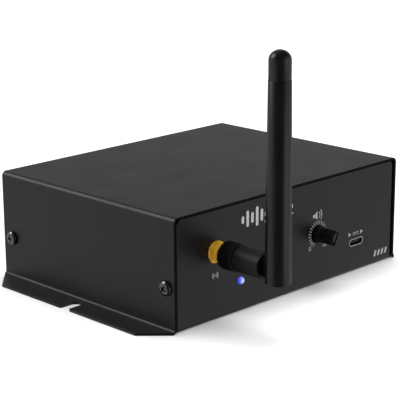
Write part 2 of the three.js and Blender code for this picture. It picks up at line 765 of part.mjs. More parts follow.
function makeVolumeControl() {
  const boxFront = panelY + sheet + volumeBoxGap;
  const housing = block(volumeX - volumeBoxHalf, volumeX + volumeBoxHalf,
    boxFront, boxFront + volumeBoxDepth, seatedTop, volumeZ + volumeBoxHalf);
  const bushing = rodY(bushingRadius, panelY - bushingReach, boxFront + 1, volumeX, volumeZ);
  const spindleEnd = panelY + sheet + spindleDepth;
  const bore = rodY(spindleRadius + runningGap, panelY - bushingReach - 1, spindleEnd + 0.3,
    volumeX, volumeZ);
  addPart('volume_body', carve([housing, bushing], [bore]), blackPlastic);

  const start = bushingReach + shaftStart;
  const blank = solidOf(turnedForward([
    [0, start], [shaftRadius, start], [shaftRadius, shaftReach - shaftEase],
    [shaftRadius - shaftEase, shaftReach], [0, shaftReach],
  ], volumeX, volumeZ, fine));
  const teeth = Array.from({ length: 4 * splineCount }, (unused, i) => {
    const radius = shaftRadius - (i % 4 < 2 ? 0 : splineDepth);
    const angle = radians(360 * i / (4 * splineCount));
    return [radius * Math.cos(angle), radius * Math.sin(angle)];
  });
  const splined = solidOf(plateY(teeth, volumeX, volumeZ, panelY - shaftReach - 1, panelY - start));
  const grip = geometryOf(blank.intersect(splined));
  const spindle = rodY(spindleRadius, panelY - start - 1, spindleEnd, volumeX, volumeZ);
  const across = shaftRadius + 1;
  const slot = block(-shaftSlotHalf, shaftSlotHalf,
    panelY - shaftReach - 1, panelY - shaftReach + shaftSlotDepth, -across, across)
    .rotateY(radians(shaftTurn)).translate(volumeX, 0, volumeZ);
  addPart('volume_shaft', carve([grip, spindle], [slot]), blackPlastic);
}

function makeUsbInlet() {
  const mouthY = panelY - usbReach;
  const backY = mouthY + usbDepth;
  const corner = usbHeight / 2 - 0.01;
  const can = plateY(roundedRectangle(usbWidth, usbHeight, corner), usbX, usbZ, mouthY, backY);
  const hollow = plateY(roundedRectangle(usbWidth - 2 * usbWall, usbHeight - 2 * usbWall, corner - usbWall),
    usbX, usbZ, mouthY - 1, backY - usbWall);
  addPart('usb_c_shell', carve([can], [hollow]), tinPlate);
  const baseY = backY - usbWall - tongueBase;
  const tongue = block(usbX - tongueWidth / 2, usbX + tongueWidth / 2, mouthY + tongueInset, baseY + 0.5,
    usbZ - tongueHeight / 2, usbZ + tongueHeight / 2);
  const base = plateY(
    roundedRectangle(usbWidth - 4 * usbWall, usbHeight - 4 * usbWall, tongueBaseRadius),
    usbX, usbZ, baseY, backY - usbWall - seatGap);
  addPart('usb_c_tongue', carve([base, tongue]), blackPlastic);
}

// Rear output connectors.

function outletScrewPlaces(side) {
  const x = side * outletX;
  return [[x - outletScrewX, outletZ + outletScrewZ], [x + outletScrewX, outletZ - outletScrewZ]];
}

function outletPinPlaces(side) {
  const x = side * outletX;
  return [
    [x + outletPinSpread, outletZ + outletPinRise],
    [x - outletPinSpread, outletZ + outletPinRise],
    [x, outletZ - outletPinSpread],
  ];
}

function makeOutlet(side, label) {
  const x = side * outletX;
  const plate = roundedRectangle(outletFlangeWidth, outletFlangeHeight, outletFlangeCorner);
  const flange = plateY(plate, x, outletZ, rearPanelY + seatGap, outletFace);
  const barrel = rodY(outletBarrel, outletBack, outletRim, x, outletZ, fine);
  const bore = rodY(outletBore, outletBack - 1, outletRim + 1, x, outletZ, fine);
  const holes = outletScrewPlaces(side).map(([hx, hz]) =>
    rodY(screwRadius + screwClearance, rearPanelY - 1, outletFace + 1, hx, hz, coarse));
  addPart(`xlr_shell_${label}`, carve([flange, barrel], [bore, ...holes]), blackSteel);

  const pinHoles = outletPinPlaces(side).map(([px, pz]) =>
    rodY(outletPinRadius + threadGap, outletInsertBack - 1, outletInsertFront + 1, px, pz, coarse));
  const disc = rodY(outletBore - threadGap, outletInsertBack, outletInsertFront, x, outletZ, fine);
  addPart(`xlr_insert_${label}`, carve([disc], pinHoles), blackPlastic);

  outletPinPlaces(side).forEach(([px, pz], index) => {
    const tip = outletInsertFront + outletPinReach;
    const back = outletTailY - outletTailHalf;
    const pin = new THREE.LatheGeometry([
      [0, back], [outletPinRadius, back], [outletPinRadius, tip - 1],
      [outletPinRadius * 0.7, tip - 0.3], [outletPinRadius * 0.3, tip], [0, tip],
    ].map(([r, y]) => new THREE.Vector2(r, y)), coarse).translate(px, 0, pz);
    const tail = block(px - outletTailHalf, px + outletTailHalf,
      outletTailY - outletTailHalf, outletTailY + outletTailHalf, boardBottom - 1, pz);
    addPart(`xlr_pin_${label}_${index + 1}`, carve([pin, tail]), tinPlate);
  });

  outletScrewPlaces(side).forEach(([sx, sz], index) => {
    const screw = crossHeadScrew(screwRadius, screwLength, screwHeadRadius, screwHeadHeight)
      .translate(sx, outletFace + seatGap, sz);
    addPart(`xlr_screw_${label}_${index + 1}`, screw, blackSteel);
  });
}

makeCover();
makeTray();
makeCoverScrews();
makeBoard();
makeStandoffs();
makeBoardParts();
makeRadioModule();
makeConnector();
makeAerialLead();
makeCouplingNut();
makePlugCore();
makeArm();
makeWhip();
makeLed();
makePairingButton();
makeVolumeControl();
makeUsbInlet();
makeOutlet(-1, 'left');
makeOutlet(1, 'right');

export default receiver;
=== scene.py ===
import json
import math

import bmesh
import bpy
from mathutils import Matrix, Vector


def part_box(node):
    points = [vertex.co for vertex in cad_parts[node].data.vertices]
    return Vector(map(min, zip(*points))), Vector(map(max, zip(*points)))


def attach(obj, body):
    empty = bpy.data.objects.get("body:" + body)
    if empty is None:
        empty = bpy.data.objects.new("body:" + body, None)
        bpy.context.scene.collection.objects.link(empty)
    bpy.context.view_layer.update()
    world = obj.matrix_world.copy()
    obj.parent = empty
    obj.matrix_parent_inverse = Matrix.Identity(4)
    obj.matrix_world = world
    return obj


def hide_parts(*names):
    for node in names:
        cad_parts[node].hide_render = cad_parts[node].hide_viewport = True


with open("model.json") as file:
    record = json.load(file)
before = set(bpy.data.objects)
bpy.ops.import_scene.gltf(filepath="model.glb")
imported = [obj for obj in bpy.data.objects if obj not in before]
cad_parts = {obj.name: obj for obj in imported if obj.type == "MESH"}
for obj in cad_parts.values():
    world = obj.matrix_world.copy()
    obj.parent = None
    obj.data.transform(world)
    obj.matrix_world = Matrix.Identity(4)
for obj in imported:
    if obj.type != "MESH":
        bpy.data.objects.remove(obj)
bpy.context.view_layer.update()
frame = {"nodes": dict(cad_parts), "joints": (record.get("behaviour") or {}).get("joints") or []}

mm = 0.001

# Bluetooth receiver: folded steel case, swivelling aerial, splined volume shaft, pairing button, status
# light, USB-C inlet and two balanced outputs. Forms are made in millimetres and scaled as they become pieces.


# Camera, floor and light

view = {
    "place": (-394.15, -394.62, 181.95),    # mm
    "yaw": 0.7829, "pitch": 0.2682, "roll": -0.006,     # radians
    "lens": 125.92,
}

studio = {
    "floorSize": 1.4,                       # metres
    "floorTone": "#f2f2f2",
    "roomLevel": 0.09,                      # as gloss sees the unlit room
    "ambient": 0.5,                         # as dull surfaces see it
    "backdrop": 1.4,                        # as the camera sees it past the floor
}

# lit parts of the room: direction, half angle of full light, half angle where it ends, level
room = {
    "tableLeft": ((-0.66, 0.70, -0.30), 22, 62, 0.74),
    "tableRight": ((0.70, -0.66, -0.30), 22, 58, 0.74),
    "wallBackRight": ((0.68, 0.68, 0.20), 22, 58, 0.38),
    "stripBackLeft": ((-0.45, 0.68, 0.58), 9, 21, 6.5),
    "ceilingBack": ((0.08, 0.62, 0.78), 10, 30, 0.2),
    "sheetFront": ((0.25, -0.96, 0.05), 10, 30, 0.75),
}

lights = {                                  # place, aim, width, height (metres), watts, seen in gloss
    "overhead": ((0.26, 0.24, 1.5), (0, 0, 0.02), 1.3, 1.3, 31, False),
    "front": ((0.35, -1.4, 0.75), (0, 0, 0.03), 0.9, 0.6, 7, False),
    "left": ((-0.62, -0.30, 0.28), (-0.04, -0.05, 0.02), 0.2, 0.2, 1.3, False),
}


def tone(code):
    # sRGB hex to linear colour with alpha
    parts = [int(code[i:i + 2], 16) / 255 for i in (1, 3, 5)]
    return (*[p / 12.92 if p <= 0.04045 else ((p + 0.055) / 1.055) ** 2.4 for p in parts], 1.0)


def addNode(tree, kind, sockets=None, **settings):
    # one node with its settings, its values and its links
    node = tree.nodes.new(kind)
    for name, value in settings.items():
        setattr(node, name, value)
    for key, value in (sockets or {}).items():
        if isinstance(value, bpy.types.NodeSocket):
            tree.links.new(value, node.inputs[key])
        else:
            node.inputs[key].default_value = value
    return node


def placeCamera():
    lens = bpy.data.cameras.new("studioCamera")
    lens.lens = view["lens"]
    lens.clip_start = 0.01
    camera = bpy.data.objects.new("studioCamera", lens)
    bpy.context.scene.collection.objects.link(camera)
    turn = Matrix.Rotation(-view["yaw"], 4, "Z") @ Matrix.Rotation(math.pi / 2 - view["pitch"], 4, "X")
    place = Matrix.Translation(Vector(view["place"]) * mm)
    camera.matrix_world = place @ turn @ Matrix.Rotation(view["roll"], 4, "Z")
    bpy.context.scene.camera = camera


def makeFloor():
    half = studio["floorSize"] / 2
    mesh = bpy.data.meshes.new("studioFloor")
    corners = [(-half, -half, 0), (half, -half, 0), (half, half, 0), (-half, half, 0)]
    mesh.from_pydata(corners, [], [(0, 1, 2, 3)])
    floor = bpy.data.objects.new("studioFloor", mesh)
    bpy.context.scene.collection.objects.link(floor)
    finish = bpy.data.materials.new("palePaper")
    finish.use_nodes = True
    shader = finish.node_tree.nodes["Principled BSDF"]
    shader.inputs["Base Color"].default_value = tone(studio["floorTone"])
    shader.inputs["Roughness"].default_value = 0.9
    shader.inputs["Specular IOR Level"].default_value = 0.2
    mesh.materials.append(finish)
    floor.visible_glossy = False            # gloss on the black paint shows the room, not the paper


def makeLights():
    for name, (place, aim, width, height, power, inGloss) in lights.items():
        lamp = bpy.data.lights.new(name, "AREA")
        lamp.shape = "RECTANGLE"
        lamp.size = width
        lamp.size_y = height
        lamp.energy = power
        holder = bpy.data.objects.new(name, lamp)
        bpy.context.scene.collection.objects.link(holder)
        away = Vector(aim) - Vector(place)
        holder.matrix_world = Matrix.Translation(place) @ away.to_track_quat("-Z", "Y").to_matrix().to_4x4()
        holder.visible_camera = False
        holder.visible_glossy = inGloss


def makeWorld():
    world = bpy.data.worlds.new("studioRoom")
    bpy.context.scene.world = world
    world.use_nodes = True
    world.cycles.sampling_method = "NONE"
    tree = world.node_tree
    tree.nodes.clear()
    where = addNode(tree, "ShaderNodeTexCoord")
    level = addNode(tree, "ShaderNodeValue")
    level.outputs["Value"].default_value = studio["roomLevel"]
    total = level.outputs["Value"]
    for direction, full, end, strength in room.values():
        near = addNode(tree, "ShaderNodeVectorMath", {
            0: where.outputs["Generated"], 1: Vector(direction).normalized()}, operation="DOT_PRODUCT")
        patch = addNode(tree, "ShaderNodeMapRange", {
            "Value": near.outputs["Value"], "From Min": math.cos(math.radians(end)),
            "From Max": math.cos(math.radians(full)), "To Min": 0.0, "To Max": strength},
            interpolation_type="SMOOTHSTEP")
        summed = addNode(tree, "ShaderNodeMath", {0: total, 1: patch.outputs["Result"]}, operation="ADD")
        total = summed.outputs["Value"]
    seen = addNode(tree, "ShaderNodeLightPath")
    lit = addNode(tree, "ShaderNodeMix", {
        "Factor": seen.outputs["Is Glossy Ray"], "A": studio["ambient"], "B": total}, data_type="FLOAT")
    white = addNode(tree, "ShaderNodeMix", {
        "Factor": seen.outputs["Is Camera Ray"], "A": lit.outputs["Result"],
        "B": studio["backdrop"]}, data_type="FLOAT")
    glow = addNode(tree, "ShaderNodeBackground", {"Strength": white.outputs["Result"]})
    addNode(tree, "ShaderNodeOutputWorld", {"Surface": glow.outputs["Background"]})


placeCamera()
makeFloor()
makeLights()
makeWorld()
bpy.context.scene.view_settings.view_transform = "Standard"
print("camera, floor and light are set")


# Materials

def makeFinish(name, recipe):
    # A finish in two tones. patch is the size of its broad unevenness and grain the size of its texture,
    # both in mm; relief is the depth of the grain in mm; stretch draws the grain out along x, y and z.
    finish = bpy.data.materials.new(name)
    finish.use_nodes = True
    tree = finish.node_tree
    shader = tree.nodes["Principled BSDF"]
    stretch = recipe.get("stretch", (1, 1, 1))
    where = addNode(tree, "ShaderNodeTexCoord")
    drawn = addNode(tree, "ShaderNodeMapping", {
        "Vector": where.outputs["Object"], "Scale": [1 / s for s in stretch]})
    broad = addNode(tree, "ShaderNodeTexNoise", {
        "Vector": drawn.outputs["Vector"], "Scale": 1 / (recipe["patch"] * mm), "Detail": 3.0})
    grain = addNode(tree, "ShaderNodeTexNoise", {
        "Vector": drawn.outputs["Vector"], "Scale": 1 / (recipe["grain"] * mm), "Detail": 2.0,
        "Roughness": 0.6})
    speckle = addNode(tree, "ShaderNodeMix", {
        "Factor": recipe.get("speckle", 0.35), "A": broad.outputs["Fac"], "B": grain.outputs["Fac"]})
    shade = addNode(tree, "ShaderNodeMapRange", {
        "Value": speckle.outputs["Result"], "From Min": 0.35, "From Max": 0.65})
    colour = addNode(tree, "ShaderNodeMix", {
        "Factor": shade.outputs["Result"], "A": tone(recipe["dark"]), "B": tone(recipe["light"])},
        data_type="RGBA")
    low, high = recipe["roughness"]
    rough = addNode(tree, "ShaderNodeMapRange", {
        "Value": speckle.outputs["Result"], "From Min": 0.3, "From Max": 0.7, "To Min": low, "To Max": high})
    bump = addNode(tree, "ShaderNodeBump", {
        "Height": grain.outputs["Fac"], "Distance": recipe["relief"] * mm, "Strength": 1.0})
    tree.links.new(colour.outputs["Result"], shader.inputs["Base Color"])
    tree.links.new(rough.outputs["Result"], shader.inputs["Roughness"])
    tree.links.new(bump.outputs["Normal"], shader.inputs["Normal"])
    shader.inputs["Metallic"].default_value = recipe.get("metallic", 0.0)
    if "ior" in recipe:
        shader.inputs["IOR"].default_value = recipe["ior"]
    if "coat" in recipe:
        shader.inputs["Coat Weight"].default_value = recipe["coat"]
        shader.inputs["Coat Roughness"].default_value = 0.12
    return finish


recipes = {
    # Polyester powder coat, stoved: satin black with a fine even orange peel
    "powderCoat": dict(dark="#0b0b0c", light="#0f0f10", patch=14, grain=0.55, relief=0.012,
                       roughness=(0.36, 0.44), ior=1.42),
    # The same coat on the tray, a little smoother so that the aerial shows in it as a soft dark shape
    "powderCoatPanel": dict(dark="#0b0b0c", light="#0e0e0f", patch=18, grain=0.5, relief=0.008,
                            roughness=(0.36, 0.44), ior=1.4),
    # Painted shade on the sheared edges: a coat darker than the powder coat and with less spread light,
    # standing in for the shadow in the gaps between cover and panels
    "shearedEdgeCoat": dict(dark="#020202", light="#040404", patch=3, grain=0.3, relief=0.006,
                            roughness=(0.55, 0.65), ior=1.18),
    # Black nickel over steel: a dark mirror with a slightly smoky unevenness
    "blackNickel": dict(dark="#5c5c60", light="#77777c", patch=1.2, grain=0.2, relief=0.001,
                        roughness=(0.1, 0.2), metallic=1.0),
    # Die-cast zinc under black chromate: nearly matt, faintly metallic
    "chromatedCasting": dict(dark="#1a1a1b", light="#28282a", patch=5, grain=0.35, relief=0.008,
                             roughness=(0.38, 0.5), metallic=0.6),
    # Bright zinc on steel: cool grey with soft spangle
    "zincPlate": dict(dark="#8d9094", light="#b7b9bb", patch=0.9, grain=0.25, relief=0.003,
                      roughness=(0.24, 0.38), metallic=1.0),
    # Hard gold flash over machined brass: warm mirror with fine turning marks
    "giltBrass": dict(dark="#e8a620", light="#ffd752", patch=1.8, grain=0.22, relief=0.002,
                      roughness=(0.16, 0.24), metallic=0.55),
    # Tin over steel strip: soft bright grey
    "tinPlate": dict(dark="#b4b0a8", light="#dcd7ce", patch=1.5, grain=0.3, relief=0.002,
                     roughness=(0.34, 0.44), metallic=1.0),
    # Moulded ABS, spark-eroded tool: satin black with broad soft highlights
    "mouldedAbs": dict(dark="#070708", light="#0b0b0c", patch=9, grain=0.35, relief=0.004,
                       roughness=(0.27, 0.34), ior=1.46),
    # The same ABS from a sandblasted tool: flatter, with no sharp highlight
    "blastedAbs": dict(dark="#060607", light="#0a0a0b", patch=6, grain=0.3, relief=0.006,
                       roughness=(0.46, 0.56), ior=1.38),
    # Acetal, turned and knurled: deep black, tight gloss on the ribs; on the volume stem's splined sides the
    # same dark finish is also painted shade between the splines
    "knurledAcetal": dict(dark="#040404", light="#080808", patch=2.5, grain=0.2, relief=0.003,
                          roughness=(0.28, 0.38), ior=1.4),
    # Glass-filled nylon: matt black with a dusty grain
    "filledNylon": dict(dark="#09090a", light="#101011", patch=2.2, grain=0.22, relief=0.006,
                        roughness=(0.42, 0.56), ior=1.5),
    # PTFE: waxy white
    "whitePtfe": dict(dark="#dedcd4", light="#f0eee8", patch=2, grain=0.4, relief=0.003,
                      roughness=(0.45, 0.55), ior=1.36),
    # Epoxy moulding compound: charcoal with filler specks
    "mouldedEpoxy": dict(dark="#141415", light="#232326", patch=2, grain=0.18, relief=0.005,
                         roughness=(0.5, 0.65), speckle=0.7),
    # Heat-shrunk PET sleeve on a capacitor can
    "petSleeve": dict(dark="#15171f", light="#20232e", patch=3, grain=0.4, relief=0.003,
                      roughness=(0.22, 0.32), coat=0.3),
    # Extruded FEP jacket of the coaxial lead: grey-brown, drawn along its run
    "fepJacket": dict(dark="#2a2622", light="#3a342e", patch=1.5, grain=0.3, relief=0.002,
                      roughness=(0.25, 0.35), stretch=(1, 3, 3)),
    # Sintered ferrite: dull dark grey
    "ferriteCore": dict(dark="#26262a", light="#3b3b40", patch=1.2, grain=0.25, relief=0.012,
                        roughness=(0.6, 0.75), speckle=0.6),
    # Screen-printed epoxy ink: light grey, with the mesh's slight unevenness
    "screenInk": dict(dark="#8e8e8f", light="#a2a2a3", patch=1.4, grain=0.25, relief=0.002,
                      roughness=(0.5, 0.62)),
    "screenInkBright": dict(dark="#a2a2a3", light="#b4b4b5", patch=1.4, grain=0.25, relief=0.002,
                            roughness=(0.5, 0.62)),
}
finishes = {name: makeFinish(name, recipe) for name, recipe in recipes.items()}


def makeSolderMask():
    # Green solder mask over copper: darker laminate, paler traces running in steps of 2.54 mm
    finish = makeFinish("solderMask", dict(dark="#0f3a20", light="#174b2a", patch=6, grain=0.3,
                                           relief=0.004, roughness=(0.25, 0.38)))
    tree = finish.node_tree
    shader = tree.nodes["Principled BSDF"]
    mask = shader.inputs["Base Color"].links[0].from_socket
    where = addNode(tree, "ShaderNodeTexCoord")
    traces = addNode(tree, "ShaderNodeTexBrick", {
        "Vector": where.outputs["Object"], "Scale": 1 / (2.54 * mm), "Mortar Size": 0.09,
        "Brick Width": 3.0, "Row Height": 1.0, "Color1": (0, 0, 0, 1), "Color2": (0, 0, 0, 1),
        "Mortar": (1, 1, 1, 1)})
    colour = addNode(tree, "ShaderNodeMix", {
        "Factor": traces.outputs["Color"], "A": mask, "B": tone("#2b7a45")}, data_type="RGBA")
    tree.links.new(colour.outputs["Result"], shader.inputs["Base Color"])
    return finish


glowing = {"core": "#c9d3ff", "rim": "#3a46d8", "body": "#141a3c", "coreRadius": 0.5, "rimRadius": 2.1,
           "strength": 1.0, "halo": "#4058ff", "haloPower": 0.00012}


def makeLitLens(centre):
    # Diffused blue LED in clear polycarbonate: nearly white over the chip and deep blue at the rim
    finish = bpy.data.materials.new("litPolycarbonate")
    finish.use_nodes = True
    tree = finish.node_tree
    shader = tree.nodes["Principled BSDF"]
    where = addNode(tree, "ShaderNodeTexCoord")
    centred = addNode(tree, "ShaderNodeVectorMath", {0: where.outputs["Object"], 1: centre * mm},
                      operation="DISTANCE")
    spread = addNode(tree, "ShaderNodeMapRange", {
        "Value": centred.outputs["Value"], "From Min": glowing["coreRadius"] * mm,
        "From Max": glowing["rimRadius"] * mm})
    uneven = addNode(tree, "ShaderNodeTexNoise", {"Vector": where.outputs["Object"], "Scale": 1 / (0.8 * mm)})
    cloud = addNode(tree, "ShaderNodeMapRange", {
        "Value": uneven.outputs["Fac"], "To Min": 0.8, "To Max": 1.2})
    mixed = addNode(tree, "ShaderNodeMath", {0: spread.outputs["Result"], 1: cloud.outputs["Result"]},
                    operation="MULTIPLY")
    lit = addNode(tree, "ShaderNodeMix", {
        "Factor": mixed.outputs["Value"], "A": tone(glowing["core"]), "B": tone(glowing["rim"])},
        data_type="RGBA")
    tree.links.new(lit.outputs["Result"], shader.inputs["Emission Color"])
    shader.inputs["Base Color"].default_value = tone(glowing["body"])
    shader.inputs["Emission Strength"].default_value = glowing["strength"]
    shader.inputs["Roughness"].default_value = 0.12
    shader.inputs["IOR"].default_value = 1.58
    return finish


finishes["solderMask"] = makeSolderMask()
print(f"{len(finishes)} finishes are mixed")


# Making forms, in millimetres

def boxOf(node):
    # middle and size of a frame node, in mm
    low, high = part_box(node)
    return (low + high) / 2 / mm, (high - low) / mm


def arc(u, v, radius, start, end, steps=8):
    turns = [math.radians(start + (end - start) * i / steps) for i in range(steps + 1)]
    return [(u + radius * math.cos(t), v + radius * math.sin(t)) for t in turns]


def roundedBox(width, height, radius, steps=8, u=0.0, v=0.0):
    a, b = width / 2 - radius, height / 2 - radius
    corners = ((a, b, 0), (-a, b, 90), (-a, -b, 180), (a, -b, 270))
    return [p for x, y, start in corners for p in arc(u + x, v + y, radius, start, start + 90, steps)]


def eased(points, radius, steps=3, closed=False):
    # rounds each corner of a line with a short curve; the ends of an open line stay sharp
    made = []
    count = len(points)
    for i, point in enumerate(points):
        if not closed and i in (0, count - 1):
            made.append(tuple(point))
            continue
        here, before, after = Vector(point), Vector(points[i - 1]), Vector(points[(i + 1) % count])
        a, b = before - here, after - here
        start = here + a.normalized() * min(radius, a.length * 0.45)
        end = here + b.normalized() * min(radius, b.length * 0.45)
        for k in range(steps + 1):
            t = k / steps
            made.append(tuple(start * (1 - t) ** 2 + here * 2 * t * (1 - t) + end * t * t))
    return made


def turned(profile, segments=64):
    # a solid of revolution about local z, from [radius, height] points; off the axis the profile closes
    form = bmesh.new()
    rings = []
    for radius, height in profile:
        if radius < 1e-6:
            rings.append([form.verts.new((0, 0, height))])
            continue
        turns = [2 * math.pi * i / segments for i in range(segments)]
        rings.append([form.verts.new((radius * math.cos(t), radius * math.sin(t), height)) for t in turns])
    closes = len(rings[0]) > 1 and len(rings[-1]) > 1
    pairs = list(zip(rings, rings[1:])) + ([(rings[-1], rings[0])] if closes else [])
    for below, above in pairs:
        for i in range(segments):
            j = (i + 1) % segments
            corners = [below[i % len(below)], below[j % len(below)],
                       above[j % len(above)], above[i % len(above)]]
            corners = list(dict.fromkeys(corners))
            if len(corners) > 2:
                form.faces.new(corners)
    return form


def extruded(outline, low, high):
    # a prism of a local x, y outline between two heights
    form = bmesh.new()
    base = form.faces.new([form.verts.new((x, y, low)) for x, y in outline])
    risen = bmesh.ops.extrude_face_region(form, geom=[base])["geom"]
    tops = [v for v in risen if isinstance(v, bmesh.types.BMVert)]
    bmesh.ops.translate(form, vec=(0, 0, high - low), verts=tops)
    return form


def block(x0, x1, y0, y1, z0, z1):
    return extruded([(x0, y0), (x1, y0), (x1, y1), (x0, y1)], z0, z1)


def facing(direction, at=(0, 0, 0)):
    # stands a form's local z along a direction, with its local y upright
    return Matrix.Translation(at) @ Vector(direction).to_track_quat("Z", "Y").to_matrix().to_4x4()


def moved(form, placing):
    bmesh.ops.transform(form, matrix=placing, verts=form.verts)
    return form


def joinedForms(*forms):
    whole = bmesh.new()
    for form in forms:
        carrier = bpy.data.meshes.new("carrier")
        form.to_mesh(carrier)
        form.free()
        whole.from_mesh(carrier)
        bpy.data.meshes.remove(carrier)
    return whole


def makePiece(name, form, *materials):
    bmesh.ops.recalc_face_normals(form, faces=form.faces)
    mesh = bpy.data.meshes.new(name)
    form.to_mesh(mesh)
    form.free()
    mesh.transform(Matrix.Scale(mm, 4))
    for material in materials:
        mesh.materials.append(finishes[material])
    piece = bpy.data.objects.new(name, mesh)
    bpy.context.scene.collection.objects.link(piece)
    return piece


def settle(piece):
    # turns what the modifiers show into the piece's own mesh
    graph = bpy.context.evaluated_depsgraph_get()
    shown = piece.evaluated_get(graph)
    mesh = bpy.data.meshes.new_from_object(shown, preserve_all_data_layers=True, depsgraph=graph)
    piece.modifiers.clear()
    before = piece.data
    piece.data = mesh
    bpy.data.meshes.remove(before)
    mesh.name = piece.name
    return piece


def combine(piece, forms, operation="DIFFERENCE"):
    tools = []
    for form in forms:
        tool = makePiece("tool", form)
        step = piece.modifiers.new("combine", "BOOLEAN")
        step.object = tool
        step.operation = operation
        step.solver = "EXACT"
        tools.append(tool)
    settle(piece)
    for tool in tools:
        bpy.data.meshes.remove(tool.data)
    return piece


def easeEdges(piece, width, segments=2, angle=40):
    bevel = piece.modifiers.new("easeEdges", "BEVEL")
    bevel.width = width * mm
    bevel.segments = segments
    bevel.limit_method = "ANGLE"
    bevel.angle_limit = math.radians(angle)
    bevel.use_clamp_overlap = True
    bevel.harden_normals = True
    for polygon in piece.data.polygons:
        polygon.use_smooth = True
    return settle(piece)


def smoothBy(piece, angle=35):
    for polygon in piece.data.polygons:
        polygon.use_smooth = True
    piece.data.set_sharp_from_angle(angle=math.radians(angle))
    return piece


def fit(piece, body, slot, *nodes):
    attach(piece, body)
    if nodes:
        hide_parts(*nodes)
    return piece


# Geometry node trees for what repeats

def startTree(name, inputs):
    # inputs: name -> socket type; returns the tree, its group input and a name -> identifier table
    tree = bpy.data.node_groups.new(name, "GeometryNodeTree")
    tree.interface.new_socket("Geometry", in_out="INPUT", socket_type="NodeSocketGeometry")
    keys = {}
    for label, kind in inputs.items():
        made = tree.interface.new_socket(label, in_out="INPUT", socket_type=kind)
        keys[label] = made.identifier
    tree.interface.new_socket("Geometry", in_out="OUTPUT", socket_type="NodeSocketGeometry")
    return tree, addNode(tree, "NodeGroupInput"), keys


def endTree(tree, geometry, material):
    real = addNode(tree, "GeometryNodeRealizeInstances", {"Geometry": geometry})
    painted = addNode(tree, "GeometryNodeSetMaterial", {
        "Geometry": real.outputs["Geometry"], "Material": material})
    addNode(tree, "NodeGroupOutput", {"Geometry": painted.outputs["Geometry"]})


def growFrom(piece, made, values):
    tree, keys = made
    growth = piece.modifiers.new(tree.name, "NODES")
    growth.node_group = tree
    for label, value in values.items():
        growth[keys[label]] = value
    return settle(piece)


def makeSpreadTree():
    # Copies a model piece onto each point, standing along the point's facing and turned by chance
    tree, given, keys = startTree("spreadPieces", {
        "Piece": "NodeSocketObject", "Turn": "NodeSocketFloat", "Seed": "NodeSocketInt",
        "Material": "NodeSocketMaterial"})
    model = addNode(tree, "GeometryNodeObjectInfo", {"Object": given.outputs["Piece"]})
    way = addNode(tree, "GeometryNodeInputNamedAttribute", {"Name": "facing"}, data_type="FLOAT_VECTOR")
    stood = addNode(tree, "FunctionNodeAlignRotationToVector", {"Vector": way.outputs["Attribute"]}, axis="Z")
    chance = addNode(tree, "FunctionNodeRandomValue", {
        "Max": given.outputs["Turn"], "Seed": given.outputs["Seed"]}, data_type="FLOAT")
    spin = addNode(tree, "ShaderNodeCombineXYZ", {"Z": chance.outputs[1]})
    turn = addNode(tree, "FunctionNodeRotateRotation", {
        "Rotation": stood.outputs["Rotation"], "Rotate By": spin.outputs["Vector"]}, rotation_space="LOCAL")
    copies = addNode(tree, "GeometryNodeInstanceOnPoints", {
        "Points": given.outputs["Geometry"], "Instance": model.outputs["Geometry"],
        "Rotation": turn.outputs["Rotation"]})
    endTree(tree, copies.outputs["Instances"], given.outputs["Material"])
    return tree, keys


def makeFluteTree():
    # Presses lengthwise ribs into the outside of a turned form, between two heights
    tree, given, keys = startTree("pressRibs", {
        "Ribs": "NodeSocketFloat", "Depth": "NodeSocketFloat", "Sharpness": "NodeSocketFloat",
        "From": "NodeSocketFloat", "To": "NodeSocketFloat", "Least Radius": "NodeSocketFloat",
        "Material": "NodeSocketMaterial"})
    place = addNode(tree, "GeometryNodeInputPosition")
    split = addNode(tree, "ShaderNodeSeparateXYZ", {0: place.outputs["Position"]})
    around = addNode(tree, "ShaderNodeMath", {
        0: split.outputs["Y"], 1: split.outputs["X"]}, operation="ARCTAN2")
    phase = addNode(tree, "ShaderNodeMath", {0: around.outputs["Value"], 1: given.outputs["Ribs"]},
                    operation="MULTIPLY")
    wave = addNode(tree, "ShaderNodeMath", {0: phase.outputs["Value"]}, operation="COSINE")
    steep = addNode(tree, "ShaderNodeMath", {0: wave.outputs["Value"], 1: given.outputs["Sharpness"]},
                    operation="MULTIPLY")
    groove = addNode(tree, "ShaderNodeMapRange", {
        "Value": steep.outputs["Value"], "From Min": -1.0, "From Max": 1.0,
        "To Min": given.outputs["Depth"], "To Max": 0.0})
    flat = addNode(tree, "ShaderNodeCombineXYZ", {"X": split.outputs["X"], "Y": split.outputs["Y"]})
    reach = addNode(tree, "ShaderNodeVectorMath", {0: flat.outputs["Vector"]}, operation="LENGTH")
    inward = addNode(tree, "ShaderNodeVectorMath", {0: flat.outputs["Vector"]}, operation="NORMALIZE")
    shift = addNode(tree, "ShaderNodeVectorMath", {0: inward.outputs["Vector"]}, operation="SCALE")
    back = addNode(tree, "ShaderNodeMath", {0: groove.outputs["Result"], 1: -1.0}, operation="MULTIPLY")
    tree.links.new(back.outputs["Value"], shift.inputs["Scale"])
    chosen = None
    tests = (
        ("GREATER_THAN", split.outputs["Z"], "From"),
        ("LESS_THAN", split.outputs["Z"], "To"),
        ("GREATER_THAN", reach.outputs["Value"], "Least Radius"),
    )
    for operation, value, limit in tests:
        test = addNode(tree, "FunctionNodeCompare", {0: value, 1: given.outputs[limit]},
                       data_type="FLOAT", operation=operation)
        if chosen is None:
            chosen = test.outputs["Result"]
        else:
            both = addNode(tree, "FunctionNodeBooleanMath", {0: chosen, 1: test.outputs["Result"]},
                           operation="AND")
            chosen = both.outputs["Boolean"]
    pressed = addNode(tree, "GeometryNodeSetPosition", {
        "Geometry": given.outputs["Geometry"], "Selection": chosen, "Offset": shift.outputs["Vector"]})
    endTree(tree, pressed.outputs["Geometry"], given.outputs["Material"])
    return tree, keys


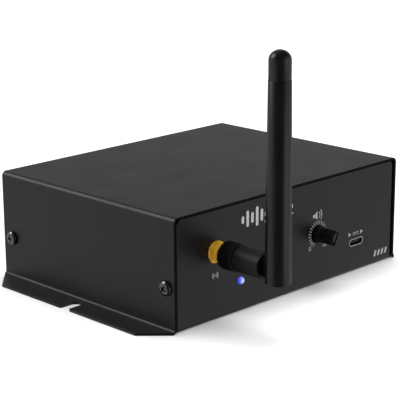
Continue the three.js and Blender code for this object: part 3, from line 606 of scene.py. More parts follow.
def makeThreadTree():
    # Winds a screw thread's ridge round local z and joins it to the core that it is given
    tree, given, keys = startTree("windThread", {
        "Radius": "NodeSocketFloat", "Pitch": "NodeSocketFloat", "Turns": "NodeSocketFloat",
        "Length": "NodeSocketFloat", "Start": "NodeSocketFloat", "Material": "NodeSocketMaterial"})
    helix = addNode(tree, "GeometryNodeCurveSpiral", {
        "Resolution": 40, "Rotations": given.outputs["Turns"], "Start Radius": given.outputs["Radius"],
        "End Radius": given.outputs["Radius"], "Height": given.outputs["Length"]})
    size = addNode(tree, "ShaderNodeMath", {0: given.outputs["Pitch"], 1: 0.42}, operation="MULTIPLY")
    ridge = addNode(tree, "GeometryNodeCurvePrimitiveCircle", {
        "Resolution": 6, "Radius": size.outputs["Value"]})
    wound = addNode(tree, "GeometryNodeCurveToMesh", {
        "Curve": helix.outputs["Curve"], "Profile Curve": ridge.outputs["Curve"], "Fill Caps": True})
    up = addNode(tree, "ShaderNodeCombineXYZ", {"Z": given.outputs["Start"]})
    lifted = addNode(tree, "GeometryNodeTransform", {
        "Geometry": wound.outputs["Mesh"], "Translation": up.outputs["Vector"]})
    both = addNode(tree, "GeometryNodeJoinGeometry")
    tree.links.new(given.outputs["Geometry"], both.inputs["Geometry"])
    tree.links.new(lifted.outputs["Geometry"], both.inputs["Geometry"])
    endTree(tree, both.outputs["Geometry"], given.outputs["Material"])
    return tree, keys


def makeDialTree():
    # Lays tick marks round a dial, from the first angle to the last
    tree, given, keys = startTree("layTicks", {
        "Ticks": "NodeSocketInt", "Radius": "NodeSocketFloat", "Tick Length": "NodeSocketFloat",
        "Tick Width": "NodeSocketFloat", "Thickness": "NodeSocketFloat", "First": "NodeSocketFloat",
        "Sweep": "NodeSocketFloat", "Material": "NodeSocketMaterial"})
    ring = addNode(tree, "GeometryNodeCurveArc", {
        "Resolution": given.outputs["Ticks"], "Radius": given.outputs["Radius"],
        "Start Angle": given.outputs["First"], "Sweep Angle": given.outputs["Sweep"]})
    size = addNode(tree, "ShaderNodeCombineXYZ", {
        "X": given.outputs["Tick Width"], "Y": given.outputs["Tick Length"], "Z": given.outputs["Thickness"]})
    tick = addNode(tree, "GeometryNodeMeshCube", {"Size": size.outputs["Vector"]})
    run = addNode(tree, "GeometryNodeInputTangent")
    along = addNode(tree, "FunctionNodeAlignRotationToVector", {"Vector": run.outputs["Tangent"]},
                    axis="X", pivot_axis="Z")
    copies = addNode(tree, "GeometryNodeInstanceOnPoints", {
        "Points": ring.outputs["Curve"], "Instance": tick.outputs["Mesh"],
        "Rotation": along.outputs["Rotation"]})
    endTree(tree, copies.outputs["Instances"], given.outputs["Material"])
    return tree, keys


spreadTree = makeSpreadTree()
fluteTree = makeFluteTree()
threadTree = makeThreadTree()
dialTree = makeDialTree()


def spreadOver(name, model, places, material, turn=0.0, seed=1):
    # places: [(point, facing)] in mm; the model is used up
    cloud = bpy.data.meshes.new(name)
    cloud.from_pydata([Vector(p) * mm for p, way in places], [], [])
    ways = cloud.attributes.new("facing", "FLOAT_VECTOR", "POINT")
    for entry, (p, way) in zip(ways.data, places):
        entry.vector = way
    piece = bpy.data.objects.new(name, cloud)
    bpy.context.scene.collection.objects.link(piece)
    growFrom(piece, spreadTree, {"Piece": model, "Turn": turn, "Seed": seed, "Material": finishes[material]})
    bpy.data.meshes.remove(model.data)
    return piece


print("helpers and node trees are ready")


# Folded steel case

cover = {
    "sheet": 1.0, "bend": 2.0, "footWidth": 10.5, "frontChamfer": 9.9, "rearChamfer": 11.0,
    "footRoot": 0.6, "slotWidth": 4.8, "slotDepth": 7.8, "slotMouth": 0.8, "screwHole": 1.7, "arris": 0.16,
}


def coverOutline():
    # section across the width: roof, walls and feet, one sheet all through
    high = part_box("top_cover")[1]
    edge, top = high.x / mm, high.z / mm
    half = edge - cover["footWidth"]
    bend, sheet = cover["bend"], cover["sheet"]
    inner = bend - sheet
    right = [
        *arc(half - bend, top - bend, bend, 90, 0, 14),
        *arc(half + inner, bend, inner, 180, 270, 14),
        (edge, sheet), (edge, 0),
        *arc(half + inner, bend, bend, 270, 180, 14),
        *arc(half - bend, top - bend, inner, 0, 90, 14),
    ]
    return right + [(-x, z) for x, z in reversed(right)]


def footCutters(edge, half, depth):
    forms = []
    over = 2.0
    for side in (-1, 1):
        for end, chamfer in ((-1, cover["frontChamfer"]), (1, cover["rearChamfer"])):
            root = Vector((side * (half + cover["footRoot"]), end * depth))
            tip = Vector((side * edge, end * (depth - chamfer)))
            step = (tip - root).normalized() * over
            corner = Vector((side * (edge + over), end * (depth + over)))
            forms.append(extruded([root - step, tip + step, corner], -1, cover["bend"] + 1))
        reach, mouth = cover["slotWidth"] / 2, cover["slotMouth"]
        lip = edge - mouth
        slot = [
            (edge + 1, -reach - mouth), *arc(lip, -reach - mouth, mouth, 0, 90, 5),
            *arc(edge - cover["slotDepth"] + reach, 0, reach, 270, 90, 16),
            *arc(lip, reach + mouth, mouth, 270, 360, 5), (edge + 1, reach + mouth),
        ]
        forms.append(extruded([(side * x, y) for x, y in slot], -1, cover["sheet"] + 1))
    return forms


def coverScrewPlaces():
    places = []
    for number in range(1, 5):
        middle, size = boxOf(f"cover_screw_{number}")
        side = math.copysign(1, middle.x)
        head = middle.x + side * size.x / 2
        places.append((Vector((head - side * screw["headHeight"], middle.y, middle.z)), Vector((side, 0, 0))))
    return places


# puts the painted-shade edge coat (material 1) on the cut faces that isCut picks
def paintShadeOnCutEdges(piece, isCut):
    for polygon in piece.data.polygons:
        if isCut(polygon.normal, polygon.center / mm):
            polygon.material_index = 1


def makeCover():
    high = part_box("top_cover")[1]
    depth, edge = high.y / mm, high.x / mm
    half = edge - cover["footWidth"]
    standing = Matrix(((1, 0, 0, 0), (0, 0, -1, 0), (0, 1, 0, 0), (0, 0, 0, 1)))
    form = moved(extruded(coverOutline(), -depth, depth), standing)
    bmesh.ops.triangulate(form, faces=[face for face in form.faces if len(face.verts) > 4])
    piece = makePiece("foldedCover", form, "powderCoat", "shearedEdgeCoat")
    tools = footCutters(edge, half, depth)
    for place, way in coverScrewPlaces():
        hole = turned([(0, -4), (cover["screwHole"], -4), (cover["screwHole"], 2), (0, 2)], 32)
        tools.append(moved(hole, facing(way, place)))
    combine(piece, tools)
    # painted shade: the cover's front and rear sheared edges take the dark edge coat, for the shadow gap
    # around the panels
    paintShadeOnCutEdges(piece, lambda n, c: abs(n.y) > 0.9 and abs(c.x) < half + 1 and abs(c.y) > depth - 0.1)
    easeEdges(piece, cover["arris"])
    return fit(piece, "case", "cover_paint", "top_cover")


tray = {
    "sheet": 1.0, "bend": 1.6, "cornerClip": 2.0, "sideBend": 1.2, "flangeDepth": 8.0, "flangeInset": 2.2,
    "jackHole": 3.29, "ledHole": 1.62, "buttonHole": 1.82, "bushingHole": 3.62, "inletGap": 0.12,
    "outletHole": 9.72, "screwHole": 1.56, "spigotHole": 2.06, "arris": 0.12,
}


def trayOutline(depth, top):
    # section along the depth, as (y, z)
    bend, sheet = tray["bend"], tray["sheet"]
    inner = bend - sheet
    rear = [
        *arc(depth - bend, bend, bend, 270, 360, 8),
        (depth, top), (depth - sheet, top),
        *arc(depth - bend, bend, inner, 360, 270, 8),
    ]
    return rear + [(-y, z) for y, z in reversed(rear)]


def trayHoles(depth):
    forms = []
    front, rear = Vector((0, -1, 0)), Vector((0, 1, 0))
    rounds = [
        ("sma_lock_washer", tray["jackHole"], front), ("status_led", tray["ledHole"], front),
        ("pairing_button", tray["buttonHole"], front), ("volume_shaft", tray["bushingHole"], front),
        ("xlr_insert_left", tray["outletHole"], rear), ("xlr_insert_right", tray["outletHole"], rear),
    ]
    for node, radius, way in rounds:
        middle, size = boxOf(node)
        hole = turned([(0, -3), (radius, -3), (radius, 3), (0, 3)], 48)
        forms.append(moved(hole, facing(way, (middle.x, way.y * depth, middle.z))))
    middle, size = boxOf("usb_c_shell")
    gap = tray["inletGap"]
    mouth = roundedBox(size.x + 2 * gap, size.z + 2 * gap, size.z / 2 + gap - 0.01, 12)
    forms.append(moved(extruded(mouth, -3, 3), facing(front, (middle.x, -depth, middle.z))))
    return forms


def makeTray():
    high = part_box("chassis_tray")[1]
    half, depth, top = high.x / mm, high.y / mm, high.z / mm
    alongWidth = Matrix(((0, 0, 1, 0), (1, 0, 0, 0), (0, 1, 0, 0), (0, 0, 0, 1)))
    piece = makePiece("foldedTray", moved(extruded(trayOutline(depth, top), -half, half), alongWidth),
                      "powderCoatPanel", "shearedEdgeCoat")
    sheet = tray["sheet"]
    flanges = []
    for side in (-1, 1):
        for end in (-1, 1):
            xs = sorted((side * half, side * (half - sheet)))
            ys = sorted((end * (depth - sheet / 2), end * (depth - tray["flangeDepth"])))
            flanges.append(block(*xs, *ys, sheet / 2, top - tray["flangeInset"]))
    combine(piece, flanges, "UNION")
    tools = trayHoles(depth)
    bend, clip, over = tray["sideBend"], tray["cornerClip"], 1.0
    for side in (-1, 1):
        corner = [(half - clip, top), (half, top - clip), (half + clip, top + clip)]
        tools.append(moved(extruded([(side * x, z) for x, z in corner], -depth - 1, depth + 1),
                           Matrix(((1, 0, 0, 0), (0, 0, -1, 0), (0, 1, 0, 0), (0, 0, 0, 1)))))
        for end in (-1, 1):
            # the fold from a panel into its side flange
            fold = [(half + over, depth + over), (half - bend, depth + over), (half - bend, depth + 0.001),
                    *arc(half - bend, depth - bend, bend, 90, 0, 8)[1:], (half + over, depth - bend)]
            tools.append(extruded([(side * x, end * y) for x, y in fold], -1, top + 1))
    for number in range(1, 5):
        middle = boxOf(f"standoff_{number}")[0]
        tools.append(moved(turned([(0, -1), (tray["spigotHole"], -1), (tray["spigotHole"], 2), (0, 2)], 24),
                           Matrix.Translation((middle.x, middle.y, 0))))
    combine(piece, tools)
    # painted shade: the panels' upward sheared edges under the roof take the dark edge coat, for the shadow
    # gap
    paintShadeOnCutEdges(piece, lambda n, c: c.z > top - 0.05 and n.z > 0.9)
    easeEdges(piece, tray["arris"])
    return fit(piece, "case", "tray_paint", "chassis_tray")


# Pan head with a cross recess. Seat at z 0, head outwards
screw = {"radius": 1.5, "length": 6.0, "headRadius": 2.9, "headHeight": 1.8, "recessArm": 0.6,
         "recessWeb": 0.125, "recessFloor": 0.35}


def makeScrewModel(radius, length, headRadius, headHeight):
    crown = [(headRadius * math.cos(t), headHeight * (0.3 + 0.7 * math.sin(t)))
             for t in (math.radians(a) for a in (8, 22, 38, 54, 70, 82))]
    body = turned([
        (0, -length), (radius * 0.75, -length), (radius, -length + 0.6), (radius, 0),
        (headRadius * 0.9, 0), (headRadius, headHeight * 0.14), (headRadius, headHeight * 0.32),
        *crown, (0, headHeight),
    ], 40)
    model = makePiece("screwModel", body)
    arm, web, floor = screw["recessArm"] * headRadius, screw["recessWeb"] * headRadius, screw["recessFloor"]
    tools = []
    for turn in (0, 90):
        # each wing of the recess narrows towards its floor
        wing = bmesh.new()
        low, high = floor * headHeight, headHeight + 1
        rings = []
        for share, z in ((0.45, low), (1.18, high)):
            a, b = arm * share, web * (0.8 + 0.2 * share)
            rings.append([wing.verts.new(p) for p in ((-a, -b, z), (a, -b, z), (a, b, z), (-a, b, z))])
        wing.faces.new(reversed(rings[0]))
        wing.faces.new(rings[1])
        for i in range(4):
            wing.faces.new((rings[0][i], rings[0][(i + 1) % 4], rings[1][(i + 1) % 4], rings[1][i]))
        tools.append(moved(wing, Matrix.Rotation(math.radians(turn), 4, "Z")))
    combine(model, tools)
    return easeEdges(model, 0.07, 2, 38)


def makeCaseScrews():
    model = makeScrewModel(screw["radius"], screw["length"], screw["headRadius"], screw["headHeight"])
    piece = spreadOver("caseScrews", model, coverScrewPlaces(), "blackNickel", turn=math.pi / 2, seed=4)
    fit(piece, "case", "black_steel", *[f"cover_screw_{n}" for n in range(1, 5)])


makeCover()
makeTray()
makeCaseScrews()
print("case is folded and screwed")


# Aerial connector

connector = {"major": 3.17, "root": 2.72, "pitch": 0.7056, "bore": 2.05, "tail": 12.0, "reach": 9.2,
             "threadFrom": 0.6, "nutFlats": 8.0, "nutBore": 3.23, "segments": 72}


def onFrontPanel(node):
    # where a fitting's axis leaves the front panel
    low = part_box("chassis_tray")[0]
    middle = boxOf(node)[0]
    return facing((0, -1, 0), (middle.x, low.y / mm, middle.z))


def fitForm(name, form, material, placing, body, slot, *nodes, angle=35):
    piece = makePiece(name, form, material)
    piece.data.transform(Matrix.Scale(mm, 4) @ placing @ Matrix.Scale(1 / mm, 4))
    smoothBy(piece, angle)
    return fit(piece, body, slot, *nodes)


def placePiece(piece, placing):
    # moves a finished mesh from its own frame to its place
    piece.data.transform(Matrix.Scale(mm, 4) @ placing @ Matrix.Scale(1 / mm, 4))
    return piece


def makeJack():
    c = connector
    barrel = [
        (0, -c["tail"]), (1.6, -c["tail"]), (1.6, -7), (3.0, -7), (3.0, -4), (c["root"], -4),
        (c["root"], c["threadFrom"] - 0.3), (c["root"], c["reach"] - 0.5), (c["root"] - 0.25, c["reach"]),
        (c["bore"], c["reach"]), (c["bore"], -6), (0, -6),
    ]
    core = joinedForms(turned(eased(barrel, 0.12), c["segments"]),
                       extruded(arc(0, 0, c["nutFlats"] / math.sqrt(3), 30, 330, 5), -3.5, -1.02))
    piece = makePiece("threadedJack", core, "giltBrass")
    length = c["reach"] - c["threadFrom"] - 0.9
    growFrom(piece, threadTree, {
        "Radius": (c["major"] - 0.42 * c["pitch"]) * mm, "Pitch": c["pitch"] * mm,
        "Turns": length / c["pitch"], "Length": length * mm, "Start": c["threadFrom"] * mm,
        "Material": finishes["giltBrass"]})
    placePiece(smoothBy(piece), onFrontPanel("sma_lock_washer"))
    return fit(piece, "case", "gilt_brass", "sma_jack")


def makeWasherAndNut():
    c = connector
    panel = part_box("chassis_tray")[0].y / mm
    washerMiddle, washerSize = boxOf("sma_lock_washer")
    radius, front = washerSize.x / 2, panel - (washerMiddle.y - washerSize.y / 2)
    ring = [(c["nutBore"] + 0.06, 0.02), (radius, 0.02), (radius, front), (c["nutBore"] + 0.06, front)]
    fitForm("lockWasher", turned(eased(ring, 0.12, closed=True), c["segments"]), "giltBrass",
            onFrontPanel("sma_lock_washer"), "case", "gilt_brass", "sma_lock_washer")

    nutMiddle, nutSize = boxOf("sma_panel_nut")
    near = panel - (nutMiddle.y + nutSize.y / 2)
    far = panel - (nutMiddle.y - nutSize.y / 2)
    corner = c["nutFlats"] / math.sqrt(3)
    flatHalf = c["nutFlats"] / 2
    piece = makePiece("panelNut", extruded(arc(0, 0, corner, 30, 330, 5), near, far), "giltBrass")
    # both faces are turned to a cone, which leaves the arcs on the flats
    cone = [(0, near), (flatHalf, near), (corner + 0.1, near + 0.5), (corner + 0.1, far - 0.5),
            (flatHalf, far), (0, far)]
    combine(piece, [turned(cone, c["segments"])], "INTERSECT")
    bore = c["nutBore"]
    wide = bore + 0.5                       # where the thread is countersunk
    hole = [(0, near - 1), (wide, near - 1), (wide, near), (bore, near + 0.5),
            (bore, far - 0.5), (wide, far), (wide, far + 1), (0, far + 1)]
    combine(piece, [turned(hole, c["segments"])])
    easeEdges(piece, 0.09, 2, 25)
    placePiece(piece, onFrontPanel("sma_lock_washer"))
    fit(piece, "case", "gilt_brass", "sma_panel_nut")


ring = {"ribs": 46, "ribDepth": 0.13, "bore": 3.3, "neck": 2.42, "shoulder": 10.3, "ribMargin": 0.9,
        "segments": 46 * 6}


def makeCouplingRing():
    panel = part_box("chassis_tray")[0].y / mm
    middle, size = boxOf("antenna_coupling_nut")
    radius, start, end = size.x / 2, panel - middle.y - size.y / 2, panel - middle.y + size.y / 2
    outside = [(radius - 0.5, start), (radius, start + 0.5), (radius, end - 0.75),
               (radius - 0.25, end - 0.55), (radius - 0.25, end - 0.35), (radius - 0.6, end)]
    # rings along the barrel give the ribs their ends
    barrel = [(radius, start + 0.5 + (end - 1.25 - start) * i / 6) for i in range(1, 6)]
    profile = [
        (ring["bore"], start), *outside[:2], *barrel, *outside[2:], (ring["neck"], end),
        (ring["neck"], ring["shoulder"]), (ring["bore"], ring["shoulder"]),
    ]
    piece = makePiece("couplingRing", turned(profile, ring["segments"]), "knurledAcetal")
    growFrom(piece, fluteTree, {
        "Ribs": float(ring["ribs"]), "Depth": ring["ribDepth"] * mm, "Sharpness": 1.6,
        "From": (start + ring["ribMargin"]) * mm, "To": (end - ring["ribMargin"]) * mm,
        "Least Radius": (radius - 0.1) * mm, "Material": finishes["knurledAcetal"]})
    placePiece(smoothBy(piece, 50), onFrontPanel("sma_lock_washer"))
    return fit(piece, "case", "aerial_plastic", "antenna_coupling_nut")


makeJack()
makeWasherAndNut()
makeCouplingRing()
print("aerial connector is made")


# Aerial

aerial = {
    "coreBore": 2.41, "boreEnd": 17.6, "tongueHalfHeight": 3.5, "tongueThickness": 3.6, "hingeRelief": 5.7,
    "pinHole": 1.07, "pinRadius": 1.0, "footEase": 1.2, "bore": 2.55, "boreStart": 8.0, "capStep": 0.1,
    "forkSideGap": 0.2, "forkEndGap": 0.4, "segments": 96, "domeHeight": 3.7, "spigot": 5.0,
}


def hingePoint():
    joint = next(j for j in frame["joints"] if j["name"] == "antenna_tilt")
    return Vector(joint["pos_m"]) / mm


def makeArm():
    a = aerial
    hinge = hingePoint()
    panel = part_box("chassis_tray")[0].y / mm
    middle, size = boxOf("antenna_arm")
    radius, start = size.x / 2, panel - middle.y - size.y / 2
    end = panel - hinge.y - a["hingeRelief"]
    outer = eased([(a["coreBore"], start), (radius, start), (radius, end), (radius - 2, end)], 0.45, 4)
    profile = [*outer, (0, end), (0, a["boreEnd"]), (a["coreBore"], a["boreEnd"])]
    body = turned(profile, a["segments"])
    piece = makePiece("aerialArm", body, "blastedAbs")
    reach = panel - hinge.y
    tip = arc(0, reach, a["tongueHalfHeight"], 0, 180, 20)
    blade = [(a["tongueHalfHeight"], end - 1), *tip, (-a["tongueHalfHeight"], end - 1)]
    # outline is (height, distance), so it is stood up with its thickness across
    across = Matrix(((0, 0, 1, 0), (1, 0, 0, 0), (0, 1, 0, 0), (0, 0, 0, 1)))
    half = a["tongueThickness"] / 2
    tongue = moved(extruded(blade, -half, half), across)
    combine(piece, [tongue], "UNION")
    hole = moved(turned([(0, -4), (a["pinHole"], -4), (a["pinHole"], 4), (0, 4)], 32),
                 Matrix.Translation((0, 0, reach)) @ Matrix.Rotation(math.pi / 2, 4, "Y"))
    combine(piece, [hole])
    easeEdges(piece, 0.22, 3, 42)
    placePiece(piece, onFrontPanel("sma_lock_washer"))
    return fit(piece, "antenna_arm", "aerial_plastic", "antenna_arm")


def makeWhip():
    a = aerial
    hinge = hingePoint()
    footMiddle, footSize = boxOf("antenna_sleeve")
    capMiddle, capSize = boxOf("antenna_tip_cap")
    bottom = footMiddle.z - footSize.z / 2 - hinge.z
    seam = footMiddle.z + footSize.z / 2 - hinge.z
    tip = capMiddle.z + capSize.z / 2 - hinge.z
    foot, top = footSize.x / 2, capSize.x / 2
    wall = eased([(0, bottom), (foot, bottom), (top, seam), (a["bore"], seam)], a["footEase"], 8)
    wall = [p for p in wall if p[1] < seam - 1.6]
    rest = [(top, seam - 0.06), (top - 0.05, seam), (a["bore"], seam), (a["bore"], a["boreStart"]),
            (0, a["boreStart"])]
    piece = makePiece("whipSleeve", turned(wall + rest, a["segments"]), "mouldedAbs")

    reach = a["tongueHalfHeight"] + a["forkEndGap"]
    half = a["tongueThickness"] / 2 + a["forkSideGap"]
    far, low = foot + 2, bottom - 2
    crosswise = Matrix.Rotation(math.pi / 2, 4, "Y")
    roller = turned([(0, -far - 1), (-bottom, -far - 1), (-bottom, far + 1), (0, far + 1)], 96)
    corner = combine(makePiece("corner", block(-far, far, 0, far, low, 0)), [moved(roller, crosswise)])
    room, radius = boxOf("antenna_hinge_pin")[1].x / 2 + 0.03, a["pinRadius"] + 0.03
    rounding = bmesh.new()
    rounding.from_mesh(corner.data)
    rounding.transform(Matrix.Scale(1 / mm, 4))
    bpy.data.meshes.remove(corner.data)
    tools = [
        moved(turned([(0, -half), (reach, -half), (reach, half), (0, half)], 64), crosswise),
        block(-half, half, 0, far, low, reach),
        block(-half, half, -reach, far, low, 0),
        rounding,
        moved(turned([(0, -room), (radius, -room), (radius, room), (0, room)], 32), crosswise),
    ]
    combine(piece, tools)
    easeEdges(piece, 0.28, 3, 42)
    placePiece(piece, Matrix.Translation(hinge))
    fit(piece, "antenna_whip", "aerial_plastic", "antenna_sleeve")

    shoulder = tip - a["domeHeight"]
    capRadius = top - a["capStep"]
    dome = [(capRadius * math.cos(t), shoulder + a["domeHeight"] * math.sin(t))
            for t in (math.pi / 2 * i / 18 for i in range(1, 18))]
    spigot = a["bore"] - 0.06
    cap = [
        (0, seam - a["spigot"]), (spigot, seam - a["spigot"]), (spigot, seam + 0.03),
        (capRadius - 0.04, seam + 0.03), (capRadius, seam + 0.08), (capRadius, shoulder), *dome, (0, tip),
    ]
    fitForm("whipCap", turned(cap, a["segments"]), "mouldedAbs", Matrix.Translation(hinge),
            "antenna_whip", "aerial_plastic", "antenna_tip_cap", angle=50)


def makeHingePin():
    hinge = hingePoint()
    size = boxOf("antenna_hinge_pin")[1]
    half, radius = size.x / 2, size.z / 2
    # each end is a low dome with a dimple
    end = [(radius, half - 0.25), (radius - 0.12, half - 0.05), (radius - 0.35, half), (0.3, half - 0.08)]
    profile = [(0, -half + 0.12), *[(r, -h) for r, h in reversed(end)], *end, (0, half - 0.12)]
    fitForm("hingePin", turned(profile, 40), "zincPlate",
            Matrix.Translation(hinge) @ Matrix.Rotation(math.pi / 2, 4, "Y"),
            "antenna_whip", "zinc_steel", "antenna_hinge_pin")


makeArm()
makeWhip()
makeHingePin()
print("aerial is made")


# Front panel controls

def makeStatusLens():
    middle, size = boxOf("status_led")
    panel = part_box("chassis_tray")[0].y / mm
    radius, back = size.x / 2, -(middle.y + size.y / 2 - panel)
    front = panel - (middle.y - size.y / 2)
    dome = [(radius * math.cos(t), front * math.sin(t)) for t in (math.pi / 2 * i / 12 for i in range(12))]
    finishes["litPolycarbonate"] = makeLitLens(Vector((middle.x + 0.55, panel - front, middle.z + 0.15)))
    profile = [(0, back), (radius, back), *dome, (0, front)]
    fitForm("statusLens", turned(profile, 48), "litPolycarbonate", onFrontPanel("status_led"),
            "case", "blue_lens", "status_led", angle=60)
    halo = bpy.data.lights.new("lensHalo", "POINT")
    halo.color = tone(glowing["halo"])[:3]
    halo.energy = glowing["haloPower"]
    halo.shadow_soft_size = 0.001
    holder = bpy.data.objects.new("lensHalo", halo)
    bpy.context.scene.collection.objects.link(holder)
    holder.location = Vector((middle.x, panel - front - 1.6, middle.z)) * mm
    holder.visible_camera = False
    holder.visible_glossy = False


def makeButton():
    middle, size = boxOf("pairing_button")
    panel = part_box("chassis_tray")[0].y / mm
    back, front = -(middle.y + size.y / 2 - panel), panel - (middle.y - size.y / 2)
    collar, cap, stem = size.x / 2, 1.75, 1.0
    profile = [
        (0, back), (stem, back), (stem, -2.1), (collar, -2.1), (collar, -1.1), (cap, -1.1),
        (cap, front - 0.3), (cap - 0.3, front), (cap * 0.5, front - 0.06), (0, front - 0.1),
    ]
    fitForm("pairingCap", turned(eased(profile, 0.1), 56), "filledNylon", onFrontPanel("pairing_button"),
            "pairing_button", "black_plastic", "pairing_button")


volume = {"bushing": 3.5, "reach": 3.0, "pitch": 0.75, "bore": 1.97, "spindle": 1.9, "splines": 18,
          "splineDepth": 0.3, "tipEase": 0.9, "slotHalf": 0.45, "slotDepth": 3.0, "slotTurn": 32.0}


def makeVolumeBushing():
    v = volume
    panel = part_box("chassis_tray")[0].y / mm
    middle, size = boxOf("volume_body")
    back = -(middle.y + size.y / 2 - panel)
    root = v["bushing"] - 0.42 * v["pitch"]
    sleeve = [(v["bore"], back + 1), (root, back + 1), (root, v["reach"] - 0.2), (root - 0.2, v["reach"]),
              (v["bore"], v["reach"])]
    lower, upper = middle.z - size.z / 2, middle.z + size.z / 2
    axis = boxOf("volume_shaft")[0]
    housing = extruded(roundedBox(size.x, upper - lower, 0.6, 4, 0, (lower + upper) / 2 - axis.z), back, -1.5)
    piece = makePiece("volumeBushing", housing, "filledNylon")
    bore = turned([(0, back - 1), (v["bore"], back - 1), (v["bore"], 0), (0, 0)], 40)
    combine(piece, [bore])
    easeEdges(piece, 0.2)
    whole = bmesh.new()
    whole.from_mesh(piece.data)
    whole.transform(Matrix.Scale(1 / mm, 4))
    bpy.data.meshes.remove(piece.data)
    piece = makePiece("volumeBushing", joinedForms(whole, turned(eased(sleeve, 0.1, closed=True), 64)),
                      "knurledAcetal")
    length = v["reach"] - 0.55
    growFrom(piece, threadTree, {
        "Radius": root * mm, "Pitch": v["pitch"] * mm, "Turns": length / v["pitch"],
        "Length": length * mm, "Start": 0.2 * mm, "Material": finishes["knurledAcetal"]})
    placePiece(smoothBy(piece), onFrontPanel("volume_shaft"))
    return fit(piece, "case", "black_plastic", "volume_body")


def makeVolumeStem():
    v = volume
    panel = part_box("chassis_tray")[0].y / mm
    middle, size = boxOf("volume_shaft")
    back, front = -(middle.y + size.y / 2 - panel), panel - (middle.y - size.y / 2)
    radius, start = size.x / 2, v["reach"] + 0.2
    stretch = [(radius, start + 0.15 + (front - v["tipEase"] - start - 0.15) * i / 6) for i in range(7)]
    profile = [
        (0, back), (v["spindle"], back), (v["spindle"], start), (radius - 0.15, start), *stretch,
        (radius - v["tipEase"] * 0.4, front - v["tipEase"] * 0.4), (radius - v["tipEase"], front), (0, front),
    ]
    piece = makePiece("volumeStem", turned(profile, v["splines"] * 12), "filledNylon")
    growFrom(piece, fluteTree, {
        "Ribs": float(v["splines"]), "Depth": v["splineDepth"] * mm, "Sharpness": 2.2,
        "From": (start + 0.05) * mm, "To": (front - v["tipEase"] * 0.3) * mm,
        "Least Radius": (radius - v["tipEase"] * 0.6) * mm, "Material": finishes["knurledAcetal"]})
    # painted shade: the splined sides keep the darker acetal finish, standing in for the shade between the
    # splines; the end face, facing along z, gets the lighter nylon
    piece.data.materials.append(finishes["filledNylon"])
    for polygon in piece.data.polygons:
        polygon.material_index = 1 if polygon.normal.z > 0.5 else 0
    half = v["slotHalf"]
    slot = moved(block(-half, half, -4, 4, front - v["slotDepth"], front + 1),
                 Matrix.Rotation(-math.radians(v["slotTurn"]), 4, "Z"))
    combine(piece, [slot])
    placePiece(smoothBy(piece, 40), onFrontPanel("volume_shaft"))
    return fit(piece, "volume_shaft", "black_plastic", "volume_shaft")


inlet = {"wall": 0.36, "tongueHalf": 3.35, "tongueThickness": 0.7, "contacts": 12,
         "contactPitch": 0.5, "contactWidth": 0.3, "contactLength": 3.4, "contactInset": 0.25}


def makeInlet():
    middle, size = boxOf("usb_c_shell")
    mouth, back = middle.y - size.y / 2, middle.y + size.y / 2
    placing = facing((0, -1, 0), (middle.x, mouth, middle.z))
    wall, depth = inlet["wall"], back - mouth
    can = extruded(roundedBox(size.x, size.z, size.z / 2 - 0.01, 16), -depth, 0)
    piece = makePiece("inletShell", can, "tinPlate")
    inside = roundedBox(size.x - 2 * wall, size.z - 2 * wall, size.z / 2 - wall - 0.01, 16)
    combine(piece, [extruded(inside, -depth + wall, 1)])
    easeEdges(piece, 0.09, 3)
    placePiece(piece, placing)
    fit(piece, "case", "tin_plate", "usb_c_shell")

    tongueMiddle, tongueSize = boxOf("usb_c_tongue")
    front = tongueMiddle.y - tongueSize.y / 2
    rear = -(tongueMiddle.y + tongueSize.y / 2 - mouth)
    thick = inlet["tongueThickness"]
    half = inlet["tongueHalf"]
    base = extruded(roundedBox(tongueSize.x, tongueSize.z, 0.9, 6), rear, rear + 1.8)
    piece = makePiece("inletTongue", base, "mouldedEpoxy")
    blade = moved(extruded(roundedBox(2 * half, thick, 0.2, 3), rear + 1, mouth - front), Matrix())
    combine(piece, [blade], "UNION")
    easeEdges(piece, 0.08)
    placePiece(piece, placing)
    fit(piece, "case", "black_plastic", "usb_c_tongue")

    pad = makePiece("contactModel", block(
        -inlet["contactWidth"] / 2, inlet["contactWidth"] / 2, 0, 0.03,
        -inlet["contactLength"] - inlet["contactInset"], -inlet["contactInset"]))
    places = []
    for i in range(inlet["contacts"]):
        across = (i - (inlet["contacts"] - 1) / 2) * inlet["contactPitch"]
        places.append((Vector((middle.x + across, front, middle.z + thick / 2 - 0.01)), Vector((0, -1, 0))))
    contacts = spreadOver("inletContacts", pad, places, "giltBrass")
    fit(contacts, "case", "gilt_brass")


makeStatusLens()
makeButton()
makeVolumeBushing()
makeVolumeStem()
makeInlet()
print("front controls are made")


# Printed marks

ink = {"thickness": 0.03, "lift": 0.005}

dial = {"ticks": 23, "radius": 4.75, "tickLength": 1.6, "tickWidth": 0.25, "first": -150.0, "sweep": 300.0}


def inked(outline, u=0.0, v=0.0):
    # one flat printed shape on the front panel, about x, z
    return extruded([(u + x, v + y) for x, y in outline], ink["lift"], ink["lift"] + ink["thickness"])


def bar(x0, x1, z0, z1, lean=0.0, radius=0.12):
    # a printed bar; lean shifts its top sideways
    corners = [(x0, z0), (x1, z0), (x1 + lean, z1), (x0 + lean, z1)]
    return inked(eased(corners, radius, 2, closed=True))


def sector(u, v, inner, outer, start, end):
    return inked([*arc(u, v, outer, start, end, 10), *arc(u, v, inner, end, start, 10)])


def soundBars():
    # five round-ended bars of a sound wave
    heights = (3.0, 6.3, 4.2, 7.6, 4.8)
    middleZ, width, pitch, left = 35.9, 1.4, 2.62, -29.0
    return [inked(roundedBox(width, tall, width / 2 - 0.01, 6, left + i * pitch + width / 2, middleZ))
            for i, tall in enumerate(heights)]


